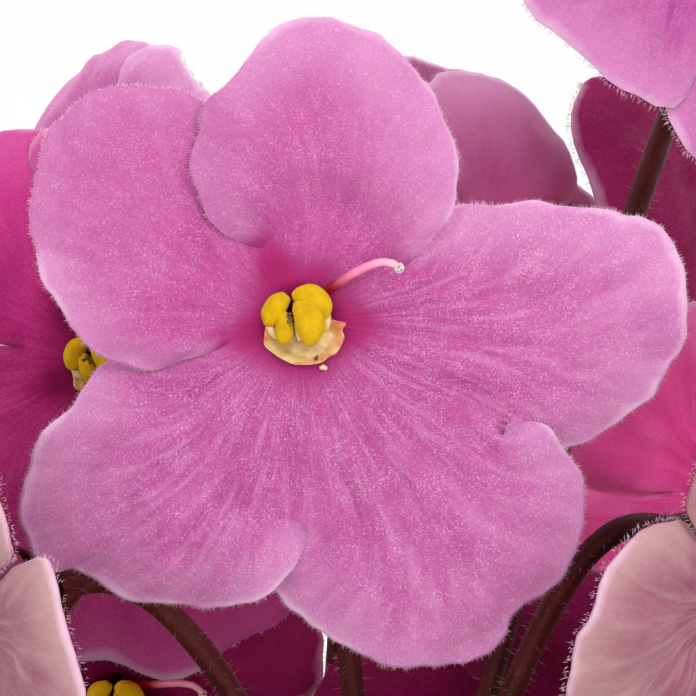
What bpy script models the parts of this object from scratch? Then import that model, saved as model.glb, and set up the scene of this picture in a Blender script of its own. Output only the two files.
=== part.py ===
"""Potted african violet: a plain nursery pot of soil, a rosette of leaves on a short crown, and four branched
flower stems that carry twelve open flowers and two buds. Metres, +Z up, origin at the centre of the pot's
flat underside, main flower facing -Y."""

import math

import bmesh
import bpy
from mathutils import Matrix, Vector

MM = 0.001
GAP = 0.3 * MM

# pot
POT_TOP_RADIUS = 55 * MM
POT_BASE_RADIUS = 37.5 * MM
POT_HEIGHT = 92 * MM
POT_WALL = 1.8 * MM
POT_FLOOR = 3 * MM
RIM_HEIGHT = 14 * MM
RIM_STEP = 2.2 * MM
DRAIN_COUNT = 6
DRAIN_RADIUS = 4 * MM
DRAIN_RING = 24 * MM
DRAIN_INNER = 18 * MM
DRAIN_OUTER = 30 * MM
ROUND_STEPS = 36

# soil and crown
SOIL_TOP = 84 * MM
SOIL_MOUND = 1.5 * MM
CROWN_SEAT_RADIUS = 14 * MM
CROWN_RADIUS = 10 * MM
CROWN_HEIGHT = 22 * MM
CROWN_BASE = SOIL_TOP + GAP

# leaves: count, first direction, how high on the crown, path of the midrib (out, up), blade start, half width,
# leaf-stalk radius, edge lift
LEAF_TIERS = (
    {
        "count": 6,
        "first": 15,
        "height_angle": 10,
        "path": ((30, 99), (70, 114), (115, 101)),
        "blade_from": 0.47,
        "half_width": 30,
        "stalk": 2.1,
        "lift": 4.5,
    },
    {
        "count": 5,
        "first": 27,
        "height_angle": 33,
        "path": ((22, 112), (56, 129), (91, 118)),
        "blade_from": 0.43,
        "half_width": 26,
        "stalk": 1.9,
        "lift": 5.0,
    },
    {
        "count": 4,
        "first": 45,
        "height_angle": 70,
        "path": ((8, 121), (30, 141), (57, 139)),
        "blade_from": 0.42,
        "half_width": 18,
        "stalk": 1.5,
        "lift": 4.5,
    },
)
LEAF_AROUND = 10
LEAF_ALONG = 12
BLADE_HALF_THICKNESS = 0.8 * MM

# flowers
PETAL_THICKNESS = 0.5 * MM
TUBE_RADIUS = 1.9 * MM
TUBE_DEPTH = 3.6 * MM
THROAT_RADIUS = 3.2 * MM
CUP_RISE = 1.5 * MM
COROLLA_AROUND = 25
STEM_RADIUS = 1.25 * MM
STEM_STEPS = 6
STEM_KNOT = (1.9, 1.9, 2.2)
SINUS_RADIUS = 5 * MM
LOBE_BLUNTNESS = 3.2
PETAL_ROLL = 2.3
PEDICEL_RADIUS = 0.8 * MM
PEDICEL_BEND = 9 * MM
CALYX_BACK = 6.6 * MM
SEPAL_REACH = 4.6 * MM

# lobes of a corolla: direction in degrees, length in mm, half span in degrees
MAIN_LOBES = ((70, 17.0, 48), (151, 15.6, 44), (4, 21.9, 36), (-61, 20.2, 40), (-138, 18.9, 44))
PLAIN_LOBES = ((60, 15.0, 38), (120, 15.0, 38), (-162, 17.5, 38), (-90, 18.6, 37), (-18, 17.5, 38))

# open flowers: stem, throat (x, y, z) in mm, direction faced, turn in degrees, size
FLOWERS = (
    (1, (0, -30, 178), (0, -0.985, 0.174), 0, 1.0),
    (2, (-12, -14, 173), (-0.1, -0.97, 0.16), 14, 1.0),
    (2, (-13, 6.5, 178), (-0.78, -0.52, 0.34), 0, 0.88),
    (3, (10, -2, 176.5), (0.7, -0.64, 0.3), 0, 0.88),
    (1, (27, -18, 199.5), (0.25, -0.8, 0.54), 0, 1.0),
    (1, (-18, -31, 162), (-0.9, -0.42, -0.12), 5, 0.9),
    (1, (25.4, -28, 162.8), (0.72, -0.6, -0.3), -8, 0.95),
    (4, (13.5, -10, 147), (0.1, -0.95, -0.2), 18, 0.95),
    (3, (27, -0.5, 162), (0.4, -0.9, -0.2), 12, 0.95),
    (4, (5, 30, 174), (0.1, 0.93, 0.32), 6, 0.98),
    (3, (27, 12, 182.5), (0.75, -0.55, 0.35), -8, 1.0),
    (2, (-11.5, -6, 150), (-0.2, -0.95, -0.2), -14, 0.95),
)

# buds: stem, tip of the calyx (x, y, z) in mm, direction faced, size
BUDS = (
    (2, (-36, -4, 148), (-0.72, -0.3, 0.5), 1.0),
    (3, (40, 16, 160), (0.7, 0.35, 0.55), 0.9),
)
BUD_RADIUS = 2.6 * MM
BUD_LENGTH = 8.5 * MM

# flower stems: direction on the crown in degrees, height on the crown in degrees, end of the stem in mm
STEMS = (
    (-90, 55, (5, -21, 129)),
    (180, 55, (-21, 2, 132)),
    (0, 55, (23, 6, 134)),
    (90, 55, (1, 21, 132)),
)


def clear_scene():
    for thing in list(bpy.data.objects):
        bpy.data.objects.remove(thing, do_unlink=True)


def new_collection(name, hidden=False):
    made = bpy.data.collections.new(name)
    bpy.context.scene.collection.children.link(made)
    made.hide_render = hidden
    return made


def material(name, colour, roughness):
    made = bpy.data.materials.new(name)
    made.use_nodes = True
    shader = made.node_tree.nodes["Principled BSDF"]
    shader.inputs["Base Color"].default_value = (*colour, 1)
    shader.inputs["Roughness"].default_value = roughness
    return made


def add_mesh(bm, name, collection, look=None):
    """Puts a bmesh into the scene as an object with faces out."""
    bmesh.ops.recalc_face_normals(bm, faces=bm.faces)
    mesh = bpy.data.meshes.new(name)
    bm.to_mesh(mesh)
    bm.free()
    thing = bpy.data.objects.new(name, mesh)
    collection.objects.link(thing)
    if look:
        mesh.materials.append(look)
    for face in mesh.polygons:
        face.use_smooth = True
    return thing


def lathe(name, profile, collection, look, steps=ROUND_STEPS):
    """A round body: the profile is turned about Z. It runs down the outer side, top to bottom."""
    mesh = bpy.data.meshes.new(name)
    edges = [(i, i + 1) for i in range(len(profile) - 1)]
    mesh.from_pydata([(out, 0, up) for out, up in profile], edges, [])
    thing = bpy.data.objects.new(name, mesh)
    collection.objects.link(thing)
    mesh.materials.append(look)
    turn = thing.modifiers.new("turn", "SCREW")
    turn.steps = steps
    turn.render_steps = steps
    turn.use_merge_vertices = True
    turn.merge_threshold = 0.00001
    turn.use_smooth_shade = True
    return thing


def join_to(thing, others, operation="UNION"):
    for other in others:
        cut = thing.modifiers.new(operation.lower(), "BOOLEAN")
        cut.operation = operation
        cut.solver = "EXACT"
        cut.object = other


def baked(thing, name, collection, look):
    """The thing with its modifiers taken in, as a new plain mesh object."""
    bpy.context.view_layer.update()
    graph = bpy.context.evaluated_depsgraph_get()
    mesh = bpy.data.meshes.new_from_object(thing.evaluated_get(graph))
    mesh.transform(thing.matrix_world)
    bm = bmesh.new()
    bm.from_mesh(mesh)
    bmesh.ops.remove_doubles(bm, verts=bm.verts, dist=0.00001)
    bm.to_mesh(mesh)
    bm.free()
    bpy.data.objects.remove(thing, do_unlink=True)
    made = bpy.data.objects.new(name, mesh)
    collection.objects.link(made)
    if look:
        mesh.materials.clear()
        mesh.materials.append(look)
    return made


def bezier(a, b, c, d, t):
    s = 1 - t
    return a * s**3 + b * (3 * s * s * t) + c * (3 * s * t * t) + d * t**3


def tube(name, points, radii, collection, sides=2):
    """A capped round rod through the points, made a mesh with its caps welded."""
    curve = bpy.data.curves.new(name, "CURVE")
    curve.dimensions = "3D"
    curve.bevel_depth = 1.0
    curve.bevel_resolution = sides
    curve.use_fill_caps = True
    line = curve.splines.new("POLY")
    line.points.add(len(points) - 1)
    for point, place, radius in zip(line.points, points, radii):
        point.co = (*place, 1)
        point.radius = radius
    thing = bpy.data.objects.new(name, curve)
    collection.objects.link(thing)
    return baked(thing, name, collection, None)


def facing(direction, turn_degrees=0):
    """Axes with Z along the direction, X level and to the right of it, then turned about Z."""
    ahead = Vector(direction).normalized()
    right = Vector((0, 0, 1)).cross(ahead).normalized()
    upward = ahead.cross(right)
    axes = Matrix((right, upward, ahead)).transposed()
    return axes @ Matrix.Rotation(math.radians(turn_degrees), 3, "Z")


# ---- pot, soil and crown


def pot_inner_radius(up):
    share = (up - POT_FLOOR) / (POT_HEIGHT - POT_FLOOR)
    top = POT_TOP_RADIUS - POT_WALL - RIM_STEP
    return POT_BASE_RADIUS - POT_WALL + (top - POT_BASE_RADIUS + POT_WALL) * share


def make_pot(parts, cutters):
    rim_base = POT_HEIGHT - RIM_HEIGHT
    wall_at_rim = pot_inner_radius(rim_base) + POT_WALL
    profile = (
        (0, POT_FLOOR),
        (DRAIN_INNER, POT_FLOOR),
        (DRAIN_OUTER, POT_FLOOR),
        (pot_inner_radius(POT_FLOOR), POT_FLOOR),
        (pot_inner_radius(POT_HEIGHT), POT_HEIGHT - 0.6 * MM),
        (pot_inner_radius(POT_HEIGHT) + 0.6 * MM, POT_HEIGHT),
        (POT_TOP_RADIUS - 0.7 * MM, POT_HEIGHT),
        (POT_TOP_RADIUS, POT_HEIGHT - 0.7 * MM),
        (POT_TOP_RADIUS - 1.2 * MM, rim_base),
        (wall_at_rim, rim_base - 0.8 * MM),
        (POT_BASE_RADIUS, 1 * MM),
        (POT_BASE_RADIUS - 1 * MM, 0),
        (DRAIN_OUTER, 0),
        (DRAIN_INNER, 0),
        (0, 0),
    )
    pot = lathe("pot", profile, parts, material("pot_plastic", (0.42, 0.16, 0.08), 0.55))
    holes = []
    for index in range(DRAIN_COUNT):
        angle = 2 * math.pi * (index + 0.5) / DRAIN_COUNT
        bm = bmesh.new()
        bmesh.ops.create_cone(
            bm, cap_ends=True, segments=12, radius1=DRAIN_RADIUS, radius2=DRAIN_RADIUS, depth=POT_FLOOR * 3
        )
        bmesh.ops.rotate(bm, verts=bm.verts, matrix=Matrix.Rotation(0.2, 3, "Z"))
        place = Vector((DRAIN_RING * math.cos(angle), DRAIN_RING * math.sin(angle), POT_FLOOR / 2))
        bmesh.ops.translate(bm, verts=bm.verts, vec=place)
        hole = add_mesh(bm, f"drain_cutter_{index + 1}", cutters)
        hole.display_type = "WIRE"
        hole.hide_render = True
        holes.append(hole)
    join_to(pot, holes, "DIFFERENCE")


def make_soil(parts):
    floor = POT_FLOOR + GAP
    profile = (
        (0, SOIL_TOP),
        (CROWN_SEAT_RADIUS, SOIL_TOP),
        (CROWN_SEAT_RADIUS + 9 * MM, SOIL_TOP + SOIL_MOUND),
        (CROWN_SEAT_RADIUS + 23 * MM, SOIL_TOP + SOIL_MOUND * 0.6),
        (pot_inner_radius(SOIL_TOP) - GAP, SOIL_TOP - 1 * MM),
        (pot_inner_radius(floor) - GAP, floor),
        (0, floor),
    )
    lathe("potting_soil", profile, parts, material("potting_soil", (0.03, 0.02, 0.014), 0.95))


def crown_point(direction, height_angle):
    """A point on the crown's dome and the way its surface faces there."""
    around = math.radians(direction)
    lift = math.radians(height_angle)
    out = Vector((math.cos(around), math.sin(around), 0))
    place = out * (CROWN_RADIUS * math.cos(lift))
    place += Vector((0, 0, CROWN_BASE + CROWN_HEIGHT * math.sin(lift)))
    away = out * (math.cos(lift) / CROWN_RADIUS)
    away += Vector((0, 0, math.sin(lift) / CROWN_HEIGHT))
    return place, away.normalized()


def make_crown(parts):
    rings = 8
    profile = []
    for index in range(rings + 1):
        lift = math.pi / 2 * (1 - index / rings)
        profile.append((CROWN_RADIUS * math.cos(lift), CROWN_BASE + CROWN_HEIGHT * math.sin(lift)))
    profile[0] = (0, CROWN_BASE + CROWN_HEIGHT)
    profile.append((0, CROWN_BASE))
    lathe("crown", profile, parts, material("crown_tissue", (0.16, 0.17, 0.06), 0.8), 24)


# ---- leaves


def blade_width(share):
    """Half width of a blade along its length, 0 at both ends and 1 at the widest."""
    return (max(share, 0) ** 0.5) * (max(1 - share, 0) ** 0.42) / 0.529


def make_leaf(number, tier, direction, parts, look):
    """One leaf: a closed ball whose rings are laid along the midrib, round in the stalk and flat in the blade."""
    start, away = crown_point(direction, tier["height_angle"])
    around = math.radians(direction)
    out = Vector((math.cos(around), math.sin(around), 0))
    aside = Vector((-math.sin(around), math.cos(around), 0))
    knots = [start + away * GAP]
    for reach, up in tier["path"]:
        knots.append(out * (reach * MM) + Vector((0, 0, up * MM)))
    knots[1] = knots[0] + away * (knots[1] - knots[0]).length
    stalk = tier["stalk"] * MM
    bm = bmesh.new()
    bmesh.ops.create_uvsphere(bm, u_segments=LEAF_AROUND, v_segments=LEAF_ALONG, radius=1)
    for vertex in bm.verts:
        level = max(-1, min(1, vertex.co.z))
        along = 1 - (1 - math.acos(-level) / math.pi) ** 1.25
        ring = math.hypot(vertex.co.x, vertex.co.y)
        across = vertex.co.x / ring if ring > 0.001 else 0
        over = vertex.co.y / ring if ring > 0.001 else 0
        place = bezier(*knots, along)
        ahead = (bezier(*knots, min(along + 0.01, 1)) - bezier(*knots, max(along - 0.01, 0))).normalized()
        above = ahead.cross(aside).normalized()
        above = above if above.z > 0 else -above
        share = (along - tier["blade_from"]) / (1 - tier["blade_from"])
        opened = blade_width(share)
        half_width = stalk + (tier["half_width"] * MM - stalk) * opened
        half_thick = stalk + (BLADE_HALF_THICKNESS - stalk) * min(opened * 1.6, 1)
        lift = tier["lift"] * MM * opened * across * across
        round_off = 1 if ring > 0.001 else 0
        vertex.co = place + aside * (half_width * across * round_off) + above * (
            (half_thick * over + lift) * round_off
        )
    add_mesh(bm, f"leaf_{number:02d}", parts, look)


def make_leaves(parts):
    look = material("leaf_green", (0.05, 0.16, 0.04), 0.6)
    number = 0
    for tier in LEAF_TIERS:
        for index in range(tier["count"]):
            number += 1
            make_leaf(number, tier, tier["first"] + 360 * index / tier["count"], parts, look)


# ---- flowers


def lobe_reach(lobes, angle, size):
    """How far the corolla's rim is from the throat in a direction: the longest of the lobes there."""
    reach = SINUS_RADIUS
    for direction, length, half_span in lobes:
        off = (angle - direction + 180) % 360 - 180
        share = abs(off) / half_span
        if share < 1:
            reach = max(reach, length * MM * (1 - share**LOBE_BLUNTNESS) ** 0.5)
    return reach * size


def corolla_section(step, reach, size):
    """The corolla from the tube's back (step 0) over the throat (step 2) to the rim (step 4): out, forward."""
    tube_part = (
        (TUBE_RADIUS * size, -TUBE_DEPTH * size),
        ((TUBE_RADIUS + 0.35 * MM) * size, -1.5 * MM * size),
        (THROAT_RADIUS * size, 0),
    )
    if step < 3:
        return tube_part[step]
    share = (step - 2) / 2
    out = THROAT_RADIUS * size + (reach - THROAT_RADIUS * size) * share
    return out, CUP_RISE * size * math.sin(share * PETAL_ROLL)


def place_of(flower):
    _, place, direction, turn, _ = flower
    axes = facing(direction, turn)
    return Vector(place) * MM, axes


def make_corolla(number, flower, lobes, parts, look):
    place, axes = place_of(flower)
    size = flower[4]
    bm = bmesh.new()
    bmesh.ops.create_grid(bm, x_segments=COROLLA_AROUND, y_segments=4, size=1)
    for vertex in bm.verts:
        angle = 180 * (vertex.co.x + 1)
        step = round((vertex.co.y + 1) * 2)
        out, ahead = corolla_section(step, lobe_reach(lobes, angle, size), size)
        spoke = Vector((math.cos(math.radians(angle)), math.sin(math.radians(angle)), 0))
        vertex.co = place + axes @ (spoke * out + Vector((0, 0, ahead)))
    bmesh.ops.remove_doubles(bm, verts=bm.verts, dist=0.00001)
    thing = add_mesh(bm, f"corolla_{number:02d}", parts, look)
    sheet = thing.modifiers.new("thickness", "SOLIDIFY")
    sheet.thickness = PETAL_THICKNESS
    sheet.offset = 0


def ball(name, centre, radii, axes, place, collection):
    bm = bmesh.new()
    bmesh.ops.create_uvsphere(bm, u_segments=6, v_segments=4, radius=1)
    for vertex in bm.verts:
        local = Vector(centre) * MM + Vector(c * r * MM for c, r in zip(vertex.co, radii))
        vertex.co = place + axes @ local
    return add_mesh(bm, name, collection)


ANTHER_LOBES = (
    ((-1.35, 0.7, 2.3), (0.95, 0.9, 0.8)),
    ((-0.7, -0.4, 2.2), (0.75, 0.95, 0.8)),
    ((0.7, 1.2, 2.5), (1.1, 0.85, 0.75)),
    ((0.45, -0.1, 2.7), (0.95, 1.2, 0.85)),
)


def make_stamens(number, flower, parts, scratch, look):
    place, axes = place_of(flower)
    sized = axes * flower[4]
    body = ball(f"anther_{number:02d}", *ANTHER_LOBES[0], sized, place, scratch)
    others = []
    for index, lobe in enumerate(ANTHER_LOBES[1:]):
        others.append(ball(f"anther_{number:02d}_{index}", *lobe, sized, place, scratch))
    path = [Vector((0.2, -2.12, 0.12)), Vector((0.25, -1.85, 1.2)), Vector((0.3, -0.9, 2.3))]
    points = [place + sized @ (p * MM) for p in path]
    radii = [0.5 * MM * flower[4], 0.75 * MM * flower[4], 0.6 * MM * flower[4]]
    others.append(tube(f"filament_{number:02d}", points, radii, scratch, 1))
    join_to(body, others)
    baked(body, f"stamens_{number:02d}", parts, look)
    for other in others:
        bpy.data.objects.remove(other, do_unlink=True)


STYLE_PATH = (
    (0, 0, -3.55),
    (0.1, 0.1, -2.0),
    (0.9, 1.0, -0.4),
    (1.9, 1.9, 1.0),
    (3.6, 3.0, 2.4),
    (5.4, 3.1, 3.2),
)
STYLE_RADII = (0.8, 0.75, 0.3, 0.26, 0.25, 0.36)


def make_pistil(number, flower, parts, look):
    place, axes = place_of(flower)
    size = flower[4]
    points = [place + axes @ (Vector(p) * MM * size) for p in STYLE_PATH]
    thing = tube(f"pistil_{number:02d}", points, [r * MM * size for r in STYLE_RADII], parts, 1)
    thing.data.materials.append(look)


def make_calyx(name, place, axes, size, collection):
    """A solid cup with five pointed sepals round its front face."""
    bm = bmesh.new()
    bmesh.ops.create_cone(bm, cap_ends=True, segments=10, radius1=1, radius2=1, depth=1)
    front = -(TUBE_DEPTH + GAP) * size
    back = -CALYX_BACK * size
    for vertex in bm.verts:
        angle = math.atan2(vertex.co.y, vertex.co.x)
        tip = round(math.degrees(angle) / 36) % 2 == 0
        spoke = Vector((math.cos(angle), math.sin(angle), 0))
        if vertex.co.z > 0:
            out = SEPAL_REACH if tip else 1.9 * MM
            local = spoke * (out * size) + Vector((0, 0, front - (0.2 * MM if tip else 0)))
        else:
            local = spoke * (1.0 * MM * size) + Vector((0, 0, back))
        vertex.co = place + axes @ local
    return add_mesh(bm, name, collection)


def make_stem(index, parts, scratch, look):
    """One flower stem with its side stems and calyx cups, grown as one piece."""
    direction, height_angle, end = STEMS[index - 1]
    root, away = crown_point(direction, height_angle)
    root = root + away * GAP
    top = Vector(end) * MM
    lean = Vector((top.x, top.y, 0)).normalized()
    knots = (root, root + away * 9 * MM, top - (lean * 0.35 + Vector((0, 0, 1))) * 10 * MM, top)
    shares = [i / STEM_STEPS for i in range(STEM_STEPS + 1)]
    points = [bezier(*knots, share) for share in shares]
    radii = [STEM_RADIUS * (1.15 - 0.2 * share) for share in shares]
    body = tube(f"stem_{index}", points, radii, scratch)
    heading = (knots[3] - knots[2]).normalized()
    others = [ball(f"stem_knot_{index}", (0, 0, 0), STEM_KNOT, Matrix.Identity(3), top, scratch)]
    ends = [(Vector(f[1]) * MM, facing(f[2], f[3]), f[4]) for f in FLOWERS if f[0] == index]
    ends += [(Vector(b[1]) * MM, facing(b[2]), b[3]) for b in BUDS if b[0] == index]
    for number, (place, axes, size) in enumerate(ends):
        forward = axes @ Vector((0, 0, 1))
        back = place - forward * (CALYX_BACK * size - 0.5 * MM)
        span = (back - top).length
        reach = (back - top).normalized()
        leave = (heading * 0.5 + reach * 0.5).normalized()
        route = (top, top + leave * span * 0.35, back - forward * min(span * 0.32, PEDICEL_BEND), back)
        line = [bezier(*route, share) for share in shares]
        others.append(tube(f"pedicel_{index}_{number}", line, [PEDICEL_RADIUS] * len(line), scratch, 1))
        others.append(make_calyx(f"calyx_{index}_{number}", place, axes, size, scratch))
    join_to(body, others)
    baked(body, f"flower_stem_{index}", parts, look)
    for other in others:
        bpy.data.objects.remove(other, do_unlink=True)


def make_bud(number, bud, parts, look):
    """A closed bud: a ball drawn out to a blunt point, seated on its calyx."""
    _, place, direction, size = bud
    axes = facing(direction)
    bm = bmesh.new()
    bmesh.ops.create_uvsphere(bm, u_segments=10, v_segments=7, radius=1)
    for vertex in bm.verts:
        level = (vertex.co.z + 1) / 2
        fat = BUD_RADIUS * size * (1.15 - 0.35 * level)
        local = Vector((vertex.co.x * fat, vertex.co.y * fat, level * BUD_LENGTH * size - TUBE_DEPTH * size))
        vertex.co = Vector(place) * MM + axes @ local
    add_mesh(bm, f"bud_{number}", parts, look)


def build():
    clear_scene()
    parts = new_collection("potted_african_violet")
    cutters = new_collection("cutters", hidden=True)
    make_pot(parts, cutters)
    make_soil(parts)
    make_crown(parts)
    make_leaves(parts)
    stem_look = material("stem_brown_red", (0.11, 0.035, 0.03), 0.6)
    for index in range(1, len(STEMS) + 1):
        make_stem(index, parts, cutters, stem_look)
    petal_look = material("petal_pink", (0.6, 0.11, 0.37), 0.65)
    anther_look = material("anther_yellow", (0.8, 0.5, 0.01), 0.5)
    pistil_look = material("pistil_pink", (0.6, 0.1, 0.2), 0.5)
    for number, flower in enumerate(FLOWERS, 1):
        lobes = MAIN_LOBES if number == 1 else PLAIN_LOBES
        make_corolla(number, flower, lobes, parts, petal_look)
        make_stamens(number, flower, parts, cutters, anther_look)
        make_pistil(number, flower, parts, pistil_look)
    bud_look = material("bud_pink", (0.4, 0.06, 0.22), 0.6)
    for number, bud in enumerate(BUDS, 1):
        make_bud(number, bud, parts, bud_look)


build()
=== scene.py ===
"""Looks of the potted african violet: fused five-lobed corollas with hairy rims, stamens and styles, hairy stems
and buds, quilted leaves, soil and pot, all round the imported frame. Metres; local flower sizes are in millimetres."""

import math

import bpy
import numpy as np
from mathutils import Matrix


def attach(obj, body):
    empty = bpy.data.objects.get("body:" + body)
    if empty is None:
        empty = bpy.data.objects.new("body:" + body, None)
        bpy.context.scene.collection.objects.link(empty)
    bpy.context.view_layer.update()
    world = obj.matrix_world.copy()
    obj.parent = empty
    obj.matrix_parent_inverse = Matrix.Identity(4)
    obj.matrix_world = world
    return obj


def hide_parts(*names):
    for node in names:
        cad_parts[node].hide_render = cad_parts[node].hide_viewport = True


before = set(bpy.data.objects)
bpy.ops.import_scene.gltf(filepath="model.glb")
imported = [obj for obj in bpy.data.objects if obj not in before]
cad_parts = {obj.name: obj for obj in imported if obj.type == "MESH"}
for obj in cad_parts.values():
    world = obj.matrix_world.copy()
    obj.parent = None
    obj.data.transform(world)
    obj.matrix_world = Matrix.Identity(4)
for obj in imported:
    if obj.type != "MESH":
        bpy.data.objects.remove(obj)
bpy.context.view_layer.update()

MM = 0.001
TAU = 2 * math.pi

# ---- the plant's driving places, as in the CAD source

# open flowers: stem, throat (x, y, z) in mm, direction faced, turn in degrees, size, petal finish; the finish is the
# petal colour painted lighter or darker for how that flower is lit, as painted light and painted shade
FLOWERS = (
    (1, (0, -30, 178), (0, -0.985, 0.174), 0, 1.0, "main"),
    (2, (-12, -14, 173), (-0.1, -0.97, 0.16), 14, 1.0, "rich"),
    (2, (-13, 6.5, 178), (-0.78, -0.52, 0.34), 0, 0.88, "main"),
    (3, (10, -2, 176.5), (0.7, -0.64, 0.3), 0, 0.88, "light"),
    (1, (27, -18, 199.5), (0.25, -0.8, 0.54), 0, 1.0, "vivid_painted_shade"),
    (1, (-18, -31, 162), (-0.9, -0.42, -0.12), 5, 0.9, "pale"),
    (1, (25.4, -28, 162.8), (0.72, -0.6, -0.3), -8, 0.95, "pale"),
    (4, (13.5, -10, 147), (0.1, -0.95, -0.2), 18, 0.95, "deep_painted_shade"),
    (3, (27, -0.5, 162), (0.4, -0.9, -0.2), 12, 0.95, "bright_painted_light"),
    (4, (5, 30, 174), (0.1, 0.93, 0.32), 6, 0.98, "main"),
    (3, (27, 12, 182.5), (0.75, -0.55, 0.35), -8, 1.0, "deep_painted_shade"),
    (2, (-11.5, -6, 150), (-0.2, -0.95, -0.2), -14, 0.95, "deep_painted_shade"),
)
BUDS = (
    (2, (-36, -4, 148), (-0.72, -0.3, 0.5), 1.0),
    (3, (40, 16, 160), (0.7, 0.35, 0.55), 0.9),
)
STEMS = (
    (-90, 55, (5, -21, 129)),
    (180, 55, (-21, 2, 132)),
    (0, 55, (23, 6, 134)),
    (90, 55, (1, 21, 132)),
)
LEAF_TIERS = (
    (6, 15, 10, ((30, 99), (70, 114), (115, 101)), 0.47, 30, 2.1, 4.5),
    (5, 27, 33, ((22, 112), (56, 129), (91, 118)), 0.43, 26, 1.9, 5.0),
    (4, 45, 70, ((8, 121), (30, 141), (57, 139)), 0.42, 18, 1.5, 4.5),
)
CROWN_RADIUS, CROWN_HEIGHT, CROWN_BASE = 10.0, 22.0, 84.3
GAP = 0.3  # air left between neighbours
CALYX_FRONT, CALYX_BACK = 3.9, 6.6
TUBE_DEPTH, THROAT_RADIUS = 3.6, 3.2
MOUTH_RADIUS = 2.2
PETAL_THICK = 0.26
RIM_HAIR_LENGTH, RIM_HAIR_RADIUS = 0.42, 0.02
STEM_RADIUS, BRANCH_RADIUS = 1.25, 0.72
POT_TOP, POT_BASE, POT_HEIGHT, POT_WALL, POT_FLOOR = 55.0, 37.5, 92.0, 1.8, 3.0
RIM_HEIGHT, RIM_STEP, DRAIN_RING, DRAIN_RADIUS, POT_SOLE = 14.0, 2.2, 24.0, 4.0, 31.0
SOIL_TOP, SOIL_MOUND, SOIL_SEAT = 84.0, 1.5, 14.0

# ---- the main flower's outline, in mm from the throat, x right and y up as it faces the viewer

# rim of the fused middle: direction in degrees, reach in mm. Every second row is a notch between two lobes.
MAIN_RIM = (
    (-27.6, 13.0),
    (0, 10.5),
    (28, 6.2),
    (72, 6.2),
    (116, 4.6),
    (155, 5.6),
    (195.7, 4.05),
    (232, 8.4),
    (271, 11.3),
    (302, 13.2),
)
# each lobe runs counterclockwise from notch to notch: outline, then its lift at its first and last side
MAIN_LOBES = (
    (
        ((12.2, -7.2), (13.6, -7.7), (15.4, -7.1), (18.7, -5.4), (20.7, -3.1), (21.8, -1.4), (22.05, 1.1),
         (21.8, 3.2), (20.8, 5.15), (18.2, 6.2), (14.4, 6.6), (11.4, 6.7), (8.65, 6.5), (7.0, 6.2), (5.9, 5.0)),
        -0.6, -0.8, 1.0,
    ),
    (
        ((6.9, 4.2), (8.1, 5.7), (8.9, 8.2), (8.6, 10.2), (7.7, 12.3), (6.3, 14.4), (4.4, 16.2), (2.2, 17.0),
         (0.2, 17.15), (-1.8, 16.3), (-3.2, 14.5), (-3.9, 13.8), (-5.2, 12.3), (-6.1, 9.4), (-5.8, 7.2),
         (-4.7, 5.4), (-3.3, 4.5)),
        0.9, 1.1, 0.45,
    ),
    (
        ((-1.7, 7.0), (-2.9, 10.6), (-6.2, 12.8), (-8.7, 13.35), (-10.8, 13.3), (-12.5, 12.6), (-14.3, 10.7),
         (-15.2, 7.2), (-15.1, 4.15), (-13.7, 0.9), (-11.6, -1.6), (-10.0, -2.4), (-8.3, -2.5), (-5.9, -1.9)),
        -0.3, 0.8, 0.45,
    ),
    (
        ((-6.0, -0.6), (-9.0, -0.9), (-10.7, -2.1), (-12.7, -4.4), (-15.0, -7.1), (-15.9, -10.2),
         (-15.7, -12.4), (-14.7, -14.0), (-13.2, -13.9), (-11.7, -14.8), (-9.4, -15.8), (-6.4, -16.1),
         (-3.9, -16.1), (-1.9, -15.5), (-0.3, -13.7), (0.5, -11.9)),
        -0.5, 0.6, 1.0,
    ),
    (
        ((-0.9, -12.4), (-1.8, -14.4), (-0.9, -16.0), (0.6, -17.2), (3.1, -18.8), (6.4, -19.7), (9.9, -19.2),
         (11.5, -18.2), (11.9, -16.9), (12.6, -16.2), (13.9, -15.4), (15.4, -13.7), (16.1, -11.1),
         (15.9, -9.2), (15.0, -7.0), (13.4, -5.8)),
        -0.5, 0.6, 1.0,
    ),
)
# the outline is drawn in by this share towards its middle, because the rims stand nearer to the viewer
OUTLINE_SHARE, OUTLINE_MIDDLE = 0.985, np.array((2.7, -1.5))

# a plain flower's lobes: direction, length, half width, lifts; and half of a lobe's outline as shares of them
PLAIN_LOBES = (
    (-18, 17.5, 8.4, -0.4, -0.5),
    (60, 15.0, 7.6, 0.6, 0.7),
    (120, 15.0, 7.6, -0.4, 0.5),
    (198, 17.5, 8.4, -0.4, 0.5),
    (270, 18.6, 8.6, -0.4, 0.5),
)
LOBE_SIDE = ((0.36, 0.5), (0.52, 0.84), (0.7, 0.98), (0.86, 0.82), (0.96, 0.45))
PLAIN_NOTCH, PLAIN_MIDDLE = 4.6, 6.4


# ---- making surfaces


def ease(value):
    """0 below 0, 1 above 1, and a smooth step between."""
    held = np.clip(value, 0, 1)
    return held * held * (3 - 2 * held)


def ripple(seed, scale, *axes):
    """A smooth random surface of about -1 to 1: seven sine waves of random directions summed over the axes."""
    dice = np.random.default_rng(seed)
    total = 0
    for _ in range(7):
        ways = dice.normal(size=len(axes))
        ways *= TAU / scale * dice.uniform(0.6, 1.5) / np.linalg.norm(ways)
        wave = sum(way * axis for way, axis in zip(ways, axes))
        total = total + np.sin(wave + dice.uniform(0, TAU))
    return total / 3.2


def smooth_line(knots, count):
    """The Catmull-Rom curve through the knots, as that many points evenly spaced along it."""
    knots = np.asarray(knots, float)
    ends = np.vstack([2 * knots[0] - knots[1], knots, 2 * knots[-1] - knots[-2]])
    spans = len(knots) - 1
    at = np.linspace(0, spans, spans * 40 + 1)
    index = np.minimum(at.astype(int), spans - 1)
    f = (at - index)[:, None]
    p = [ends[index + k] for k in range(4)]
    line = 0.5 * (
        2 * p[1]
        + (p[2] - p[0]) * f
        + (2 * p[0] - 5 * p[1] + 4 * p[2] - p[3]) * f**2
        + (3 * p[1] - p[0] - 3 * p[2] + p[3]) * f**3
    )
    return even_line(line, count)


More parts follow.
